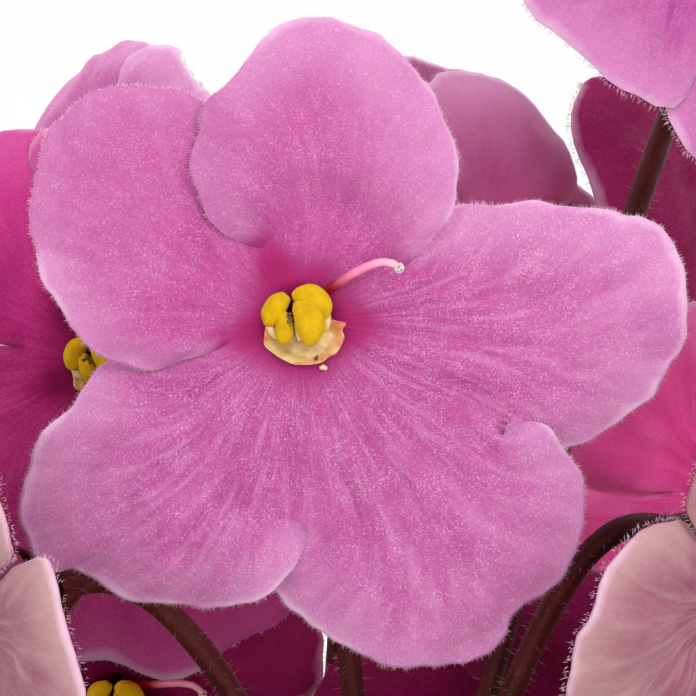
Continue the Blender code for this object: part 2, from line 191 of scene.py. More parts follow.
def even_line(line, count):
    """The same line with that many points at even steps of its length."""
    steps = np.r_[0, np.cumsum(np.linalg.norm(np.diff(line, axis=0), axis=1))]
    wanted = np.linspace(0, steps[-1], count)
    return np.stack([np.interp(wanted, steps, line[:, k]) for k in range(line.shape[1])], axis=1)


def bezier(a, b, c, d, count):
    """Points of the cubic Bezier curve with these four handles."""
    t = np.linspace(0, 1, count)[:, None]
    s = 1 - t
    a, b, c, d = (np.asarray(point) for point in (a, b, c, d))
    return a * s**3 + b * 3 * s * s * t + c * 3 * s * t * t + d * t**3


def unit(vector):
    vector = np.asarray(vector, float)
    return vector / np.maximum(np.linalg.norm(vector, axis=-1, keepdims=True), 1e-12)


def facing(direction, turn):
    """Three axes as columns: right, up and ahead of something that faces a direction, turned about it."""
    ahead = unit(direction)
    right = unit(np.cross((0, 0, 1), ahead))
    axes = np.stack([right, np.cross(ahead, right), ahead], axis=1)
    c, s = math.cos(math.radians(turn)), math.sin(math.radians(turn))
    return axes @ np.array(((c, -s, 0), (s, c, 0), (0, 0, 1)))


def turned(radius, turn, up):
    """Points at these radii and heights round the upright axis."""
    return np.stack([radius * np.cos(turn), radius * np.sin(turn), up + 0 * turn], axis=-1)


def grid_faces(rows, columns, around=False):
    """Quads of a grid of vertices numbered row by row; around joins the last column to the first."""
    wide = columns if around else columns - 1
    i, j = np.meshgrid(np.arange(rows - 1), np.arange(wide), indexing="ij")
    k = (j + 1) % columns
    here, above = i * columns, (i + 1) * columns
    return np.stack([here + j, here + k, above + k, above + j], axis=-1).reshape(-1, 4)


def linked(name, data):
    """A new object of the scene."""
    thing = bpy.data.objects.new(name, data)
    bpy.context.scene.collection.objects.link(thing)
    return thing


class Surface:
    """Collects grids of vertices, their faces and their named values, and makes one mesh object of them."""

    def __init__(self):
        self.points, self.quads, self.values, self.slots, self.count = [], [], [], [], 0

    def add(self, points, quads, slot=0, **values):
        points = np.asarray(points, float).reshape(-1, 3)
        self.points.append(points)
        self.quads.append(quads + self.count)
        self.slots.append(np.full(len(quads), slot))
        for k, value in values.items():
            wide = np.ndim(value) > 1
            values[k] = value.reshape(-1, 3) if wide else np.broadcast_to(value, (len(points),))
        self.values.append(values)
        self.count += len(points)

    def tube(self, path, radii, sides=12, slot=0, **values):
        """A round rod along a path, closed by a point at each end; its side turns with the path."""
        path = np.asarray(path, float)
        ahead = unit(np.gradient(path, axis=0))
        spare = np.where(np.abs(ahead[0, 2]) < 0.9, 1.0, 0.0)
        side = unit(np.cross(ahead, (1 - spare, 0, spare)))
        over = np.cross(side, ahead)
        turn = np.linspace(0, TAU, sides, endpoint=False)
        ring = side[:, None] * np.cos(turn)[:, None] + over[:, None] * np.sin(turn)[:, None]
        radii = np.broadcast_to(radii, (len(path),)).astype(float)
        body = path[:, None] + ring * radii[:, None, None]
        first = np.broadcast_to(path[0] - ahead[0] * radii[0] * 0.3, (1, sides, 3))
        last = np.broadcast_to(path[-1] + ahead[-1] * radii[-1] * 0.5, (1, sides, 3))
        grid = np.concatenate([first, body, last])
        grown = {}
        for name, value in values.items():
            value = np.broadcast_to(value, (len(path),))
            grown[name] = np.repeat(np.r_[value[0], value, value[-1]], sides)
        self.add(grid, grid_faces(len(grid), sides, True), slot, **grown)

    def hairs(self, roots, directions, lengths, radius, slot=0, **values):
        """Thin three-sided cones that stand on the roots."""
        ahead = unit(directions)
        side = unit(np.cross(ahead, ahead[:, [1, 2, 0]] + 0.13))
        over = np.cross(ahead, side)
        corners = []
        for k in range(3):
            c, s = math.cos(TAU * k / 3), math.sin(TAU * k / 3)
            corners.append(roots + (side * c + over * s) * radius)
        tips = roots + ahead * np.asarray(lengths)[:, None]
        points = np.stack([*corners, tips], axis=1)
        base = np.arange(len(roots))[:, None, None] * 4
        cone = np.array([(0, 1, 3, 3), (1, 2, 3, 3), (2, 0, 3, 3), (0, 2, 1, 1)])
        grown = {k: np.repeat(np.broadcast_to(v, (len(roots),)), 4) for k, v in values.items()}
        self.add(points, (base + cone[None]).reshape(-1, 4), slot, **grown)

    def make(self, name, materials, axes=None, origin=(0, 0, 0), size=1.0, weld=0.0):
        """The mesh object: millimetres scaled, turned and moved into place, doubles merged, named values kept."""
        points = np.concatenate(self.points) * size
        if axes is not None:
            points = points @ axes.T
        points = (points + np.asarray(origin)) * MM
        quads = np.concatenate(self.quads)
        slots = np.concatenate(self.slots)
        names = sorted({k for v in self.values for k in v})
        merged = {}
        for k in names:
            wide = any(k in v and v[k].ndim == 2 for v in self.values)
            parts = []
            for block, held in zip(self.points, self.values):
                empty = np.zeros((len(block), 3) if wide else len(block))
                parts.append(held.get(k, empty))
            merged[k] = np.concatenate(parts)
        if weld:
            quads, points, merged = welded(quads, points, merged, weld * MM)
        same = [quads[:, k] == quads[:, (k + 1) % 4] for k in range(4)]
        doubles = np.sum(same, axis=0) + (quads[:, 0] == quads[:, 2]) + (quads[:, 1] == quads[:, 3])
        keep = doubles < 2
        quads, slots, same = quads[keep], slots[keep], [s[keep] for s in same]
        corners = np.full(len(quads), 4) - (np.sum(same, axis=0) > 0)
        shifted = quads.copy()
        for k in range(4):
            hit = same[k]
            shifted[hit] = np.roll(quads[hit], -(k + 1), axis=1)
        loops = shifted.reshape(-1)[(np.arange(4)[None] < corners[:, None]).reshape(-1)]
        mesh = bpy.data.meshes.new(name)
        mesh.vertices.add(len(points))
        mesh.vertices.foreach_set("co", points.reshape(-1))
        mesh.loops.add(len(loops))
        mesh.loops.foreach_set("vertex_index", loops.astype(np.int32))
        mesh.polygons.add(len(quads))
        mesh.polygons.foreach_set("loop_start", np.r_[0, np.cumsum(corners)[:-1]].astype(np.int32))
        mesh.polygons.foreach_set("material_index", slots.astype(np.int32))
        mesh.polygons.foreach_set("use_smooth", np.ones(len(quads), bool))
        mesh.update(calc_edges=True)
        mesh.validate()
        for k, value in merged.items():
            kind = "FLOAT_VECTOR" if value.ndim == 2 else "FLOAT"
            layer = mesh.attributes.new(k, kind, "POINT")
            field = "vector" if value.ndim == 2 else "value"
            layer.data.foreach_set(field, value.astype(np.float32).reshape(-1))
        for look in materials:
            mesh.materials.append(look)
        return linked(name, mesh)


def welded(quads, points, values, within):
    """Vertices that lie this close made one."""
    cells = np.round(points / within).astype(np.int64)
    _, first, index = np.unique(cells, axis=0, return_index=True, return_inverse=True)
    index = index.reshape(-1)
    return index[quads], points[first], {k: v[first] for k, v in values.items()}


def thicken(thing, thickness, back_slot):
    """The sheet doubled towards its back, with the back in another material."""
    sheet = thing.modifiers.new("thickness", "SOLIDIFY")
    sheet.thickness = thickness * MM
    sheet.offset = -1.0
    sheet.use_even_offset = False
    sheet.material_offset = back_slot
    sheet.material_offset_rim = 0


def settle(thing, node):
    """The piece stands for its CAD node and rides on the plant."""
    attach(thing, "root")
    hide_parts(node)


# ---- shader helpers


def add_node(tree, kind, settings=None, **inputs):
    made = tree.nodes.new(kind)
    for key, value in (settings or {}).items():
        setattr(made, key, value)
    for key, value in inputs.items():
        plug(tree, value, made.inputs[key.replace("_", " ")])
    return made


def plug(tree, value, socket):
    if isinstance(value, bpy.types.NodeSocket):
        tree.links.new(value, socket)
    else:
        socket.default_value = value


def maths(tree, operation, a, b, held):
    """Two values joined by one operation; held keeps the result from 0 to 1."""
    made = add_node(tree, "ShaderNodeMath", {"operation": operation, "use_clamp": held})
    plug(tree, a, made.inputs[0])
    plug(tree, b, made.inputs[1])
    return made.outputs[0]


def times(tree, a, b, held=False):
    return maths(tree, "MULTIPLY", a, b, held)


def plus(tree, a, b, held=False):
    return maths(tree, "ADD", a, b, held)


def mix(tree, share, a, b, blend="MIX"):
    """The second colour laid over the first by a share."""
    made = add_node(tree, "ShaderNodeMix", {"data_type": "RGBA", "blend_type": blend, "clamp_result": False})
    for index, value in ((0, share), (6, a), (7, b)):
        plug(tree, value, made.inputs[index])
    return made.outputs[2]


def stain(tree, share, a, b):
    """The first colour multiplied by the second, by a share."""
    return mix(tree, share, a, b, "MULTIPLY")


def spread(tree, value, low, high, to_low=0.0, to_high=1.0):
    made = add_node(tree, "ShaderNodeMapRange", {"clamp": True})
    for socket, amount in zip(made.inputs, (value, low, high, to_low, to_high)):
        plug(tree, amount, socket)
    return made.outputs[0]


def attribute(tree, name, output="Fac"):
    return add_node(tree, "ShaderNodeAttribute", {"attribute_name": name}).outputs[output]


def place_coords(tree):
    return add_node(tree, "ShaderNodeTexCoord").outputs["Object"]


def noise(tree, vector, scale, detail, roughness=0.55):
    return add_node(
        tree, "ShaderNodeTexNoise", Vector=vector, Scale=scale, Detail=detail, Roughness=roughness
    ).outputs["Fac"]


def scaled(tree, vector, by):
    made = add_node(tree, "ShaderNodeVectorMath", {"operation": "MULTIPLY"})
    plug(tree, vector, made.inputs[0])
    plug(tree, by, made.inputs[1])
    return made.outputs[0]


def new_group(name, inputs, outputs):
    """A node group with these sockets: (tree, its inputs by name, its output node)."""
    tree = bpy.data.node_groups.new(name, "ShaderNodeTree")
    for label, kind, value in inputs:
        socket = tree.interface.new_socket(label, in_out="INPUT", socket_type=kind)
        socket.default_value = value
    for label, kind in outputs:
        tree.interface.new_socket(label, in_out="OUTPUT", socket_type=kind)
    return tree, tree.nodes.new("NodeGroupInput").outputs, tree.nodes.new("NodeGroupOutput").inputs


def use_group(tree, group, **inputs):
    made = tree.nodes.new("ShaderNodeGroup")
    made.node_tree = group
    for key, value in inputs.items():
        plug(tree, value, made.inputs[key.replace("_", " ")])
    return made.outputs


def new_material(name, **fixed):
    """A material with its Principled shader, whose even values are set on the shader's own sockets."""
    made = bpy.data.materials.new(name)
    made.use_nodes = True
    shader = made.node_tree.nodes["Principled BSDF"]
    for key, value in fixed.items():
        shader.inputs[key.replace("_", " ")].default_value = value
    return made, made.node_tree, shader


def paint(tree, shader, colour):
    plug(tree, colour, shader.inputs["Base Color"])


def roughen(tree, shader, strength, distance, height):
    """A bumped normal of this height, for relief too fine to model."""
    bump = add_node(tree, "ShaderNodeBump", Strength=strength, Distance=distance, Height=height)
    plug(tree, bump.outputs["Normal"], shader.inputs["Normal"])


FLOAT, COLOUR, VECTOR = "NodeSocketFloat", "NodeSocketColor", "NodeSocketVector"


def rgb(red, green, blue):
    """A colour given as display values of 0 to 255, in linear light."""
    share = np.array((red, green, blue)) / 255
    linear = np.where(share <= 0.04045, share / 12.92, ((share + 0.055) / 1.055) ** 2.4)
    return (*(float(v) for v in linear), 1.0)


# ---- petal finish


def petal_group():
    """Petal skin. shade is 1 in the throat and tone 1 at the rim, and they pick the colour; shade holds the throat's
    deeper colour together with painted shade in the throat and between lobes, and tone holds the lobes' paler margins
    together with painted light and shade. flow is a place along the petal's own veins, stretched for streaks; fine
    cells give painted glints, pale specks mixed into the colour, and the bump of the surface's tiny domes."""
    tree, given, out = new_group(
        "petal_skin",
        (
            ("Throat", COLOUR, rgb(150, 20, 90)),
            ("Middle", COLOUR, rgb(200, 90, 160)),
            ("Margin", COLOUR, rgb(225, 160, 200)),
            ("Pale_Rim_And_Highlight", COLOUR, rgb(238, 200, 226)),
            ("Glint", FLOAT, 1.0),
            ("Streaks", FLOAT, 1.0),
        ),
        (("Color", COLOUR), ("Roughness", FLOAT), ("Normal", VECTOR)),
    )
    here = place_coords(tree)
    streak_share = times(tree, attribute(tree, "veined"), given["Streaks"])
    patchy = noise(tree, here, 240.0, 3.0)
    tone = plus(tree, attribute(tree, "tone"), spread(tree, patchy, 0.3, 0.7, -0.09, 0.09), True)
    drift = scaled(tree, here, (90.0, 90.0, 90.0))
    warp = add_node(tree, "ShaderNodeTexNoise", Vector=drift, Scale=1.0, Detail=1.0).outputs["Color"]
    moved = add_node(tree, "ShaderNodeVectorMath", {"operation": "ADD"})
    plug(tree, attribute(tree, "flow", "Vector"), moved.inputs[0])
    plug(tree, scaled(tree, warp, (0.1, 0.1, 1.0)), moved.inputs[1])
    flow = moved.outputs[0]
    folds = noise(tree, scaled(tree, flow, (11.0, 11.0, 0.14)), 1.0, 2.0, 0.5)
    streaks = noise(tree, scaled(tree, flow, (26.0, 26.0, 0.26)), 1.0, 2.0, 0.5)
    fine_streaks = noise(tree, scaled(tree, flow, (62.0, 62.0, 0.6)), 1.0, 3.0, 0.6)
    shade = plus(tree, attribute(tree, "shade"), spread(tree, fine_streaks, 0.3, 0.7, -0.12, 0.12), True)
    shade = times(tree, shade, spread(tree, attribute(tree, "shade"), 0.0, 0.12))
    colour = mix(tree, tone, given["Middle"], given["Margin"])
    colour = mix(tree, shade, colour, given["Throat"])
    # painted light: the inner throat is made redder and brighter, standing for light that shines through the thin
    # petal into its shaded well
    throat_painted_light = times(tree, spread(tree, attribute(tree, "shade"), 0.4, 0.8), given["Glint"])
    colour = stain(tree, throat_painted_light, colour, (1.2, 0.7, 1.15, 1))
    far = spread(tree, attribute(tree, "shade"), 0.15, 0.75, 1.0, 0.15)
    streak_share = times(tree, streak_share, far)
    # painted shade: darker stripes along soft folds that fan out over the veined lobes
    fold_painted_shade = times(tree, spread(tree, folds, 0.46, 0.68, 0.0, 0.75), streak_share)
    colour = stain(tree, fold_painted_shade, colour, (0.78, 0.45, 0.74, 1))
    pale = times(tree, spread(tree, streaks, 0.48, 0.7, 0.0, 0.46), streak_share)
    colour = mix(tree, pale, colour, given["Margin"])
    pale = times(tree, spread(tree, fine_streaks, 0.52, 0.75, 0.0, 0.26), streak_share)
    colour = mix(tree, pale, colour, given["Margin"])
    # the very rim takes its own pale colour, with a painted highlight laid along it
    colour = mix(tree, spread(tree, tone, 0.84, 1.0, 0.0, 0.55), colour, given["Pale_Rim_And_Highlight"])
    cells = add_node(tree, "ShaderNodeTexVoronoi", Vector=here, Scale=16500.0)
    grain = add_node(tree, "ShaderNodeSeparateColor", Color=cells.outputs["Color"]).outputs["Red"]
    zone = spread(tree, noise(tree, here, 700.0, 2.0), 0.35, 0.65, 0.5, 1.0)
    zone = times(tree, zone, given["Glint"])
    zone = times(tree, zone, spread(tree, shade, 0.0, 0.7, 1.0, 0.0))
    zone = times(tree, zone, spread(tree, attribute(tree, "veined"), 0.0, 1.0, 0.6, 1.15))
    # painted glints: pale specks and brighter points over the fine cells are mixed into the colour, fading out in the
    # throat
    painted_glint_specks = times(tree, spread(tree, grain, 0.35, 1.0, 0.0, 0.36), zone)
    colour = mix(tree, painted_glint_specks, colour, rgb(255, 214, 246))
    painted_glint_stars = times(tree, spread(tree, grain, 0.9, 1.0, 0.0, 0.46), zone)
    colour = mix(tree, painted_glint_stars, colour, rgb(255, 240, 252))
    plug(tree, colour, out["Color"])
    plug(tree, spread(tree, grain, 0.0, 1.0, 0.7, 0.45), out["Roughness"])
    domes = spread(tree, cells.outputs["Distance"], 0.0, 0.00005, 1.0, 0.0)
    lines = plus(tree, times(tree, streaks, 1.2), times(tree, fine_streaks, 0.5))
    lines = times(tree, lines, streak_share)
    puckers = times(tree, noise(tree, here, 800.0, 3.0), 0.8)
    height = plus(tree, times(tree, domes, 0.12), plus(tree, lines, puckers))
    bump = add_node(tree, "ShaderNodeBump", Strength=0.5, Distance=0.00016, Height=height)
    plug(tree, bump.outputs["Normal"], out["Normal"])
    return tree


def petal_material(name, group, throat, middle, margin, sheen, glint=1.0, streaks=1.0):
    made, tree, shader = new_material(
        name,
        Sheen_Weight=sheen,
        Sheen_Roughness=0.35,
        Sheen_Tint=(1.0, 0.8, 0.95, 1),
        Subsurface_Weight=0.3,
        Subsurface_Radius=(1.0, 0.35, 0.65),
        Subsurface_Scale=0.0008,
        Specular_IOR_Level=0.05 + sheen,
    )
    skin = use_group(tree, group, Throat=throat, Middle=middle, Margin=margin, Glint=glint, Streaks=streaks)
    paint(tree, shader, skin["Color"])
    plug(tree, skin["Roughness"], shader.inputs["Roughness"])
    plug(tree, skin["Normal"], shader.inputs["Normal"])
    return made


def petal_materials(group):
    """Front and back of the petals for each finish. Each finish but main and pale is the petal colour painted darker
    or lighter
    for how its flowers are lit: the darkest one is painted shade for flowers inside the cluster and another darker one
    is for a flower in more light, while rich, light and the brightest one are lightened as painted light for flowers
    that stand in shade.
    """
    front = {
        "main": (rgb(222, 14, 118), rgb(186, 52, 153), rgb(226, 176, 210)),
        "light": (rgb(170, 20, 100), rgb(252, 128, 204), rgb(255, 198, 232)),
        "vivid_painted_shade": (rgb(168, 4, 92), rgb(156, 10, 120), rgb(184, 84, 162)),
        "rich": (rgb(140, 0, 66), rgb(248, 84, 180), rgb(246, 136, 194)),
        "bright_painted_light": (rgb(190, 10, 90), rgb(255, 80, 170), rgb(255, 136, 194)),
        "deep_painted_shade": (rgb(84, 0, 36), rgb(134, 0, 66), rgb(166, 26, 98)),
        "pale": (rgb(120, 20, 68), rgb(112, 26, 68), rgb(190, 144, 150)),
    }
    back = {
        "main": (rgb(150, 30, 92), rgb(172, 66, 138), rgb(204, 140, 186)),
        "light": (rgb(150, 30, 96), rgb(206, 104, 166), rgb(222, 158, 200)),
        "vivid_painted_shade": (rgb(150, 30, 92), rgb(164, 60, 132), rgb(194, 124, 176)),
        "rich": (rgb(120, 6, 66), rgb(180, 34, 122), rgb(196, 84, 150)),
        "bright_painted_light": (rgb(150, 16, 80), rgb(220, 60, 144), rgb(226, 120, 172)),
        "deep_painted_shade": (rgb(90, 0, 44), rgb(126, 2, 66), rgb(154, 30, 96)),
        "pale": (rgb(140, 60, 88), rgb(144, 78, 100), rgb(194, 156, 156)),
    }
    finish = {
        "main": (1.0, 0.07), "light": (0.5, 0.1), "vivid_painted_shade": (0.5, 0.06),
        "rich": (0.3, 0.03), "bright_painted_light": (0.3, 0.05), "deep_painted_shade": (0.15, 0.01), "pale": (0.3, 0.06),
    }
    made = {}
    for kind, (glint, sheen) in finish.items():
        made[kind] = (
            petal_material(f"petal_{kind}_front", group, *front[kind], sheen, glint),
            petal_material(f"petal_{kind}_back", group, *back[kind], sheen, glint * 0.5, 0.7),
        )
    return made


def hair_material(name, colour):
    made, tree, shader = new_material(name, Roughness=0.4, Sheen_Weight=0.3)
    drift = noise(tree, place_coords(tree), 2500.0, 2.0)
    paler = tuple(0.6 * value + 0.4 for value in colour)
    paint(tree, shader, mix(tree, drift, colour, paler))
    return made


# ---- corollas


def rim_radii(rim, angles):
    """Reach of the fused middle in each direction: a smooth closed curve through the rim's rows, in polar terms."""
    table = np.array(rim, float)
    count = len(table)
    wrapped = np.vstack([table - (360, 0), table, table + (360, 0)])
    at = np.searchsorted(wrapped[:, 0], angles, side="right") - 1
    x0, x1 = wrapped[at, 0], wrapped[at + 1, 0]
    y0, y1 = wrapped[at, 1], wrapped[at + 1, 1]
    before, after = wrapped[at - 1], wrapped[(at + 2) % (3 * count)]
    slope0 = (y1 - before[:, 1]) / (x1 - before[:, 0])
    slope1 = (after[:, 1] - y0) / (after[:, 0] - x0)
    span = x1 - x0
    f = (angles - x0) / span
    keep0 = (2 * f**3 - 3 * f**2 + 1) * y0 + (f**3 - 2 * f**2 + f) * span * slope0
    return keep0 + (3 * f**2 - 2 * f**3) * y1 + (f**3 - f**2) * span * slope1


def face_height(reach):
    """How far forward the open face stands at a distance from the throat's middle: a trumpet that flattens."""
    return 0.85 + 0.75 * (1 - np.exp(-np.maximum(reach - THROAT_RADIUS, 0) / 2.2)) - 0.0023 * reach**2


def polar(x, y):
    return np.hypot(x, y), np.degrees(np.arctan2(y, x))


def relief(x, y, veined, seed):
    """Fine swells of the face: soft wandering folds that fan out where the petal is veined, and puckers."""
    radius, angle = polar(x, y)
    turn = np.radians(angle) + 0.035 * ripple(seed + 4, 5.0, x, y)
    c, s = np.cos(turn), np.sin(turn)
    fan = ripple(seed, 0.19, c, s, radius * 0.012)
    fan_fine = ripple(seed + 1, 0.07, c, s, radius * 0.012)
    strength = ease((radius - 3.2) / 4) * veined
    soft = ripple(seed + 2, 4.2, x, y) * 0.085 + ripple(seed + 3, 1.9, x, y) * 0.028
    return (fan * 0.11 + fan_fine * 0.02) * strength + soft * ease((radius - 3) / 3)


def throat_shade(x, y):
    """1 in the throat and 0 out on the face, reaching out a little in the creases between lobes: the throat's deeper
    colour together with painted shade in the throat, and painted shade in the creases.
    """
    radius, angle = polar(x, y)
    wide = 3.05 + 0.12 * np.cos(np.radians(5 * angle))
    # painted shade: darker patches that reach out along the creases between lobes
    for way, spread_of, more in ((114, 17, 2.1), (194, 17, 1.5), (356, 26, 1.4), (68, 16, 0.5), (268, 36, 0.5)):
        off = (angle - way + 180) % 360 - 180
        wide = wide + more * np.exp(-((off / spread_of) ** 2))
    return 0.95 * (1 - ease((radius - wide + 1.6) / 3.2))


def corolla_surface(rim, lobes, columns, rows, seed):
    """One fused corolla. Its middle is a turned tube, throat and trumpet out to the rim curve. Each lobe is a grid
    from its stretch of that rim out to its outline, along curves that leave the rim straight outwards; side lifts
    let lobes pass over one another. The height sums the trumpet, lift, pillow, rolled and ruffled rim and relief."""
    surface = Surface()
    notches = np.array([row[0] for row in rim[::2]], float)
    spans = np.diff(np.r_[notches, notches[0] + 360])
    share = np.arange(columns) / columns
    angles = (notches[:, None] + spans[:, None] * share[None]).reshape(-1)
    reach_rim = rim_radii(rim, np.where(angles > 360 + notches[0], angles - 360, angles))
    turn = np.radians(angles)
    spoke = np.stack([np.cos(turn), np.sin(turn)], axis=1)
    tube_rows = np.array(
        ((1.75, -TUBE_DEPTH + 0.05), (1.55, -1.8), (1.55, -0.5), (1.75, 0.4), (MOUTH_RADIUS, 0.83)))
    outward = np.linspace(0, 1, 14)[1:]
    radius = np.vstack([
        np.repeat(tube_rows[:, :1], len(angles), axis=1),
        MOUTH_RADIUS + (reach_rim[None] - MOUTH_RADIUS) * outward[:, None],
    ])
    veined_side = np.repeat([lobe[3] for lobe in lobes], columns).astype(float)
    blend = np.hanning(columns // 2 * 2 + 1)
    veined_side = np.convolve(np.tile(veined_side, 3), blend / blend.sum(), "same")
    veined_side = veined_side[len(angles): 2 * len(angles)]
    tube_depth = np.repeat(tube_rows[:, 1:], len(angles), axis=1)
    depth = np.vstack([tube_depth, face_height(radius[len(tube_rows):])])
    x, y = radius * spoke[:, 0], radius * spoke[:, 1]
    depth = depth + relief(x, y, veined_side[None], seed)
    middle = np.stack([x, y, depth], axis=-1)
    flow = np.concatenate([np.broadcast_to(spoke, (*x.shape, 2)), radius[..., None]], axis=-1)
    surface.add(
        middle, grid_faces(len(middle), len(angles), True), 0,
        tone=(0.1 * ease((radius - 4) / 12)).reshape(-1), shade=throat_shade(x, y).reshape(-1),
        flow=flow, veined=np.broadcast_to(veined_side, x.shape).reshape(-1),
    )
    rims = []
    for index, (outline, lift_first, lift_last, veined) in enumerate(lobes):
        here = np.arange(index * columns, (index + 1) * columns + 1) % len(angles)
        root = middle[-1, here]
        line = smooth_line(np.vstack([root[0, :2], outline, root[-1, :2]]), columns + 1)
        along = np.linspace(0, 1, columns + 1)
        edge_way = unit(np.gradient(line, axis=0))[:, ::-1] * (1, -1)
        uneven = ripple(seed + 11 + index, 0.05, along) * 0.06 + ripple(seed + 31 + index, 0.13, along) * 0.12
        line = line + edge_way * (uneven * ease(np.minimum(along, 1 - along) / 0.08))[:, None]
        s = np.linspace(0, 1, rows)[:, None, None]
        gap = np.linalg.norm(line - root[:, :2], axis=1)[:, None]
        handle = root[:, :2] + spoke[here] * gap * 0.33
        flat = root[:, :2] * (1 - s) ** 2 + handle * 2 * s * (1 - s) + line * s**2
        s = s[:, :, 0]
        t = along[None]
        lx, ly = flat[..., 0], flat[..., 1]
        radius, _ = polar(lx, ly)
        away = s * gap.T
        side = np.minimum(t, 1 - t)
        lift = (lift_first + (lift_last - lift_first) * ease(t)) * ease(away / 4.5)
        pillow = 0.75 * 6.75 * s**2 * (1 - s) * (1 - (2 * t - 1) ** 2) ** 0.5 * np.clip(gap.T / 9, 0, 1)
        wave = 1 + 0.55 * ripple(seed + 51 + index, 0.3, t) + 0.2 * ripple(seed + 61 + index, 0.11, t)
        roll = -0.36 * ease((s - 0.6) / 0.4) ** 1.7 * wave * np.clip(gap.T / 5, 0, 1)
        fade = ease(s / 0.35)
        held = veined_side[here][None] * (1 - fade) + veined * fade
        calm = 1 - 0.75 * ease((s - 0.55) / 0.45)
        height = face_height(radius) + relief(lx, ly, held * calm, seed) + lift + pillow + roll
        full = np.stack([lx, ly, height], axis=-1)
        full[0] = root
        full[:, 0], full[:, -1] = root[0], root[-1]
        edge = np.clip(1 - (1 - s) * gap.T / 3.4, 0, 1) * np.clip(gap.T / 2.5, 0, 1)
        # painted light and painted shade in the lobes' tone: the pale margin colour is laid on towards the upper
        # right, the top, the lower left and the far right as painted light, and the tone is held down on the upper
        # left and lower right as painted shade
        painted_light = 0.3 * ease((lx + ly * 0.35 - 4) / 7) * ease((ly - 2) / 5) + 0.2 * ease((ly - 11) / 6)
        painted_light = painted_light + 0.2 * ease((-lx - 8) / 5) * ease((-ly - 3) / 4) + 0.16 * ease((lx - 13) / 6)
        painted_shade = 0.6 * ease((-lx - 2) / 3) * ease((ly - 3) / 3) + 0.2 * ease(lx / 4) * ease((-ly - 6) / 4)
        margin = 0.12 * fade * ease(radius / 20) + 0.78 * edge**1.7
        margin = 0.1 * ease((radius - 4) / 12) + margin * (1 - painted_shade)
        margin = margin + 1.9 * painted_light * fade * np.clip(0.82 - margin, 0, 1)
        margin[:, 0], margin[:, -1] = margin[0, 0], margin[0, -1]
        # painted shade: the throat colour reaches out along the fold where neighbouring lobes meet, near the throat
        crease_shade = np.exp(-side * gap.T.max() * 3.2 / 2.2) * ease(1 - away / 6) * ease(away / 0.8)
        shade = np.clip(throat_shade(lx, ly) + 0.75 * crease_shade * ease((9.5 - radius) / 4.5), 0, 1)
        root_way = np.broadcast_to(spoke[here][None], (*s.shape[:1], columns + 1, 2))
        surface.add(
            full, grid_faces(rows, columns + 1), 0,
            tone=margin.reshape(-1), shade=shade.reshape(-1),
            flow=np.concatenate([root_way, radius[..., None]], axis=-1), veined=held.reshape(-1),
        )
        rims.append((full[-1], full[-2]))
    return surface, rims


def rim_hairs(surface, rims, spacing, dice):
    """Short hairs that stand out from every lobe's rim, fanned a little and leaning forward."""
    for rim, inner in rims:
        total = np.linalg.norm(np.diff(rim, axis=0), axis=1).sum()
        count = int(total / spacing)
        at = np.sort(dice.uniform(0.02, 0.98, count)) * (len(rim) - 1)
        step = np.minimum(at.astype(int), len(rim) - 2)
        f = (at - step)[:, None]
        roots = rim[step] * (1 - f) + rim[step + 1] * f
        along = unit(rim[step + 1] - rim[step])
        outward = unit(np.cross(along, (0, 0, 1.0)))
        away = unit(roots - (inner[step] * (1 - f) + inner[step + 1] * f))
        outward = unit(outward * 0.8 + away * 0.4)
        lean = dice.normal(0, 0.3, (count, 3))
        direction = outward + lean * (0.8, 0.8, 1.2)
        lengths = RIM_HAIR_LENGTH * dice.uniform(0.45, 1.15, count)
        drop = np.array((0, 0, 0.3)) * dice.uniform(0.0, 1.0, (count, 1))
        surface.hairs(roots - outward * 0.03 - drop, direction, lengths, RIM_HAIR_RADIUS, tone=1.0)


def plain_outlines(seed):
    """Rim and outlines of a plain flower: mirrored lobe sides with a little seeded change of length and width."""
    dice = np.random.default_rng(seed)
    rim, lobes = [], []
    ways = np.array([lobe[0] for lobe in PLAIN_LOBES], float)
    befores = np.r_[ways[-1] - 360, ways[:-1]]
    for index, (way, length, half, lift_first, lift_last) in enumerate(PLAIN_LOBES):
        notch = (befores[index] + way) / 2
        rim.append((notch, PLAIN_NOTCH))
        rim.append((way, PLAIN_MIDDLE))
        length = length * dice.uniform(0.95, 1.03)
        half = half * dice.uniform(1.0, 1.12)
        c, s = math.cos(math.radians(way)), math.sin(math.radians(way))
        sides = [(u, -v) for u, v in LOBE_SIDE] + [(1.0, 0.0)] + [(u, v) for u, v in reversed(LOBE_SIDE)]
        outline = []
        for u, v in sides:
            u = u * length * dice.uniform(0.95, 1.04)
            v = v * half * dice.uniform(0.92, 1.06)
            outline.append((u * c - v * s, u * s + v * c))
        lobes.append((outline, lift_first, lift_last, 0.5 if 0 < way < 180 else 0.9))
    return rim, lobes


def main_outlines():
    """Rim and outlines of the main flower, each outline point drawn in a little towards their middle."""
    lobes = []
    for outline, *lifts in MAIN_LOBES:
        lobes.append((OUTLINE_MIDDLE + (np.array(outline) - OUTLINE_MIDDLE) * OUTLINE_SHARE, *lifts))
    return MAIN_RIM, lobes


def make_corolla(number, flower, looks, hair):
    _, place, direction, turn, size, finish = flower
    main = number == 1
    seed = 100 * number
    rim, lobes = main_outlines() if main else plain_outlines(seed)
    surface, rims = corolla_surface(rim, lobes, *((104, 62) if main else (40, 24)), seed)
    thing_axes = facing(direction, turn)
    front, back = looks[finish]
    thing = surface.make(f"petals_{number:02d}", [front, back, hair], thing_axes, place, size, weld=0.004)
    thicken(thing, PETAL_THICK, 1)
    settle(thing, f"corolla_{number:02d}")
    fringe = Surface()
    dice = np.random.default_rng(seed + 5)
    rim_hairs(fringe, rims, 0.04 if main else 0.1, dice)
    edge = fringe.make(f"petal_hairs_{number:02d}", [hair], thing_axes, place, size)
    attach(edge, "root")


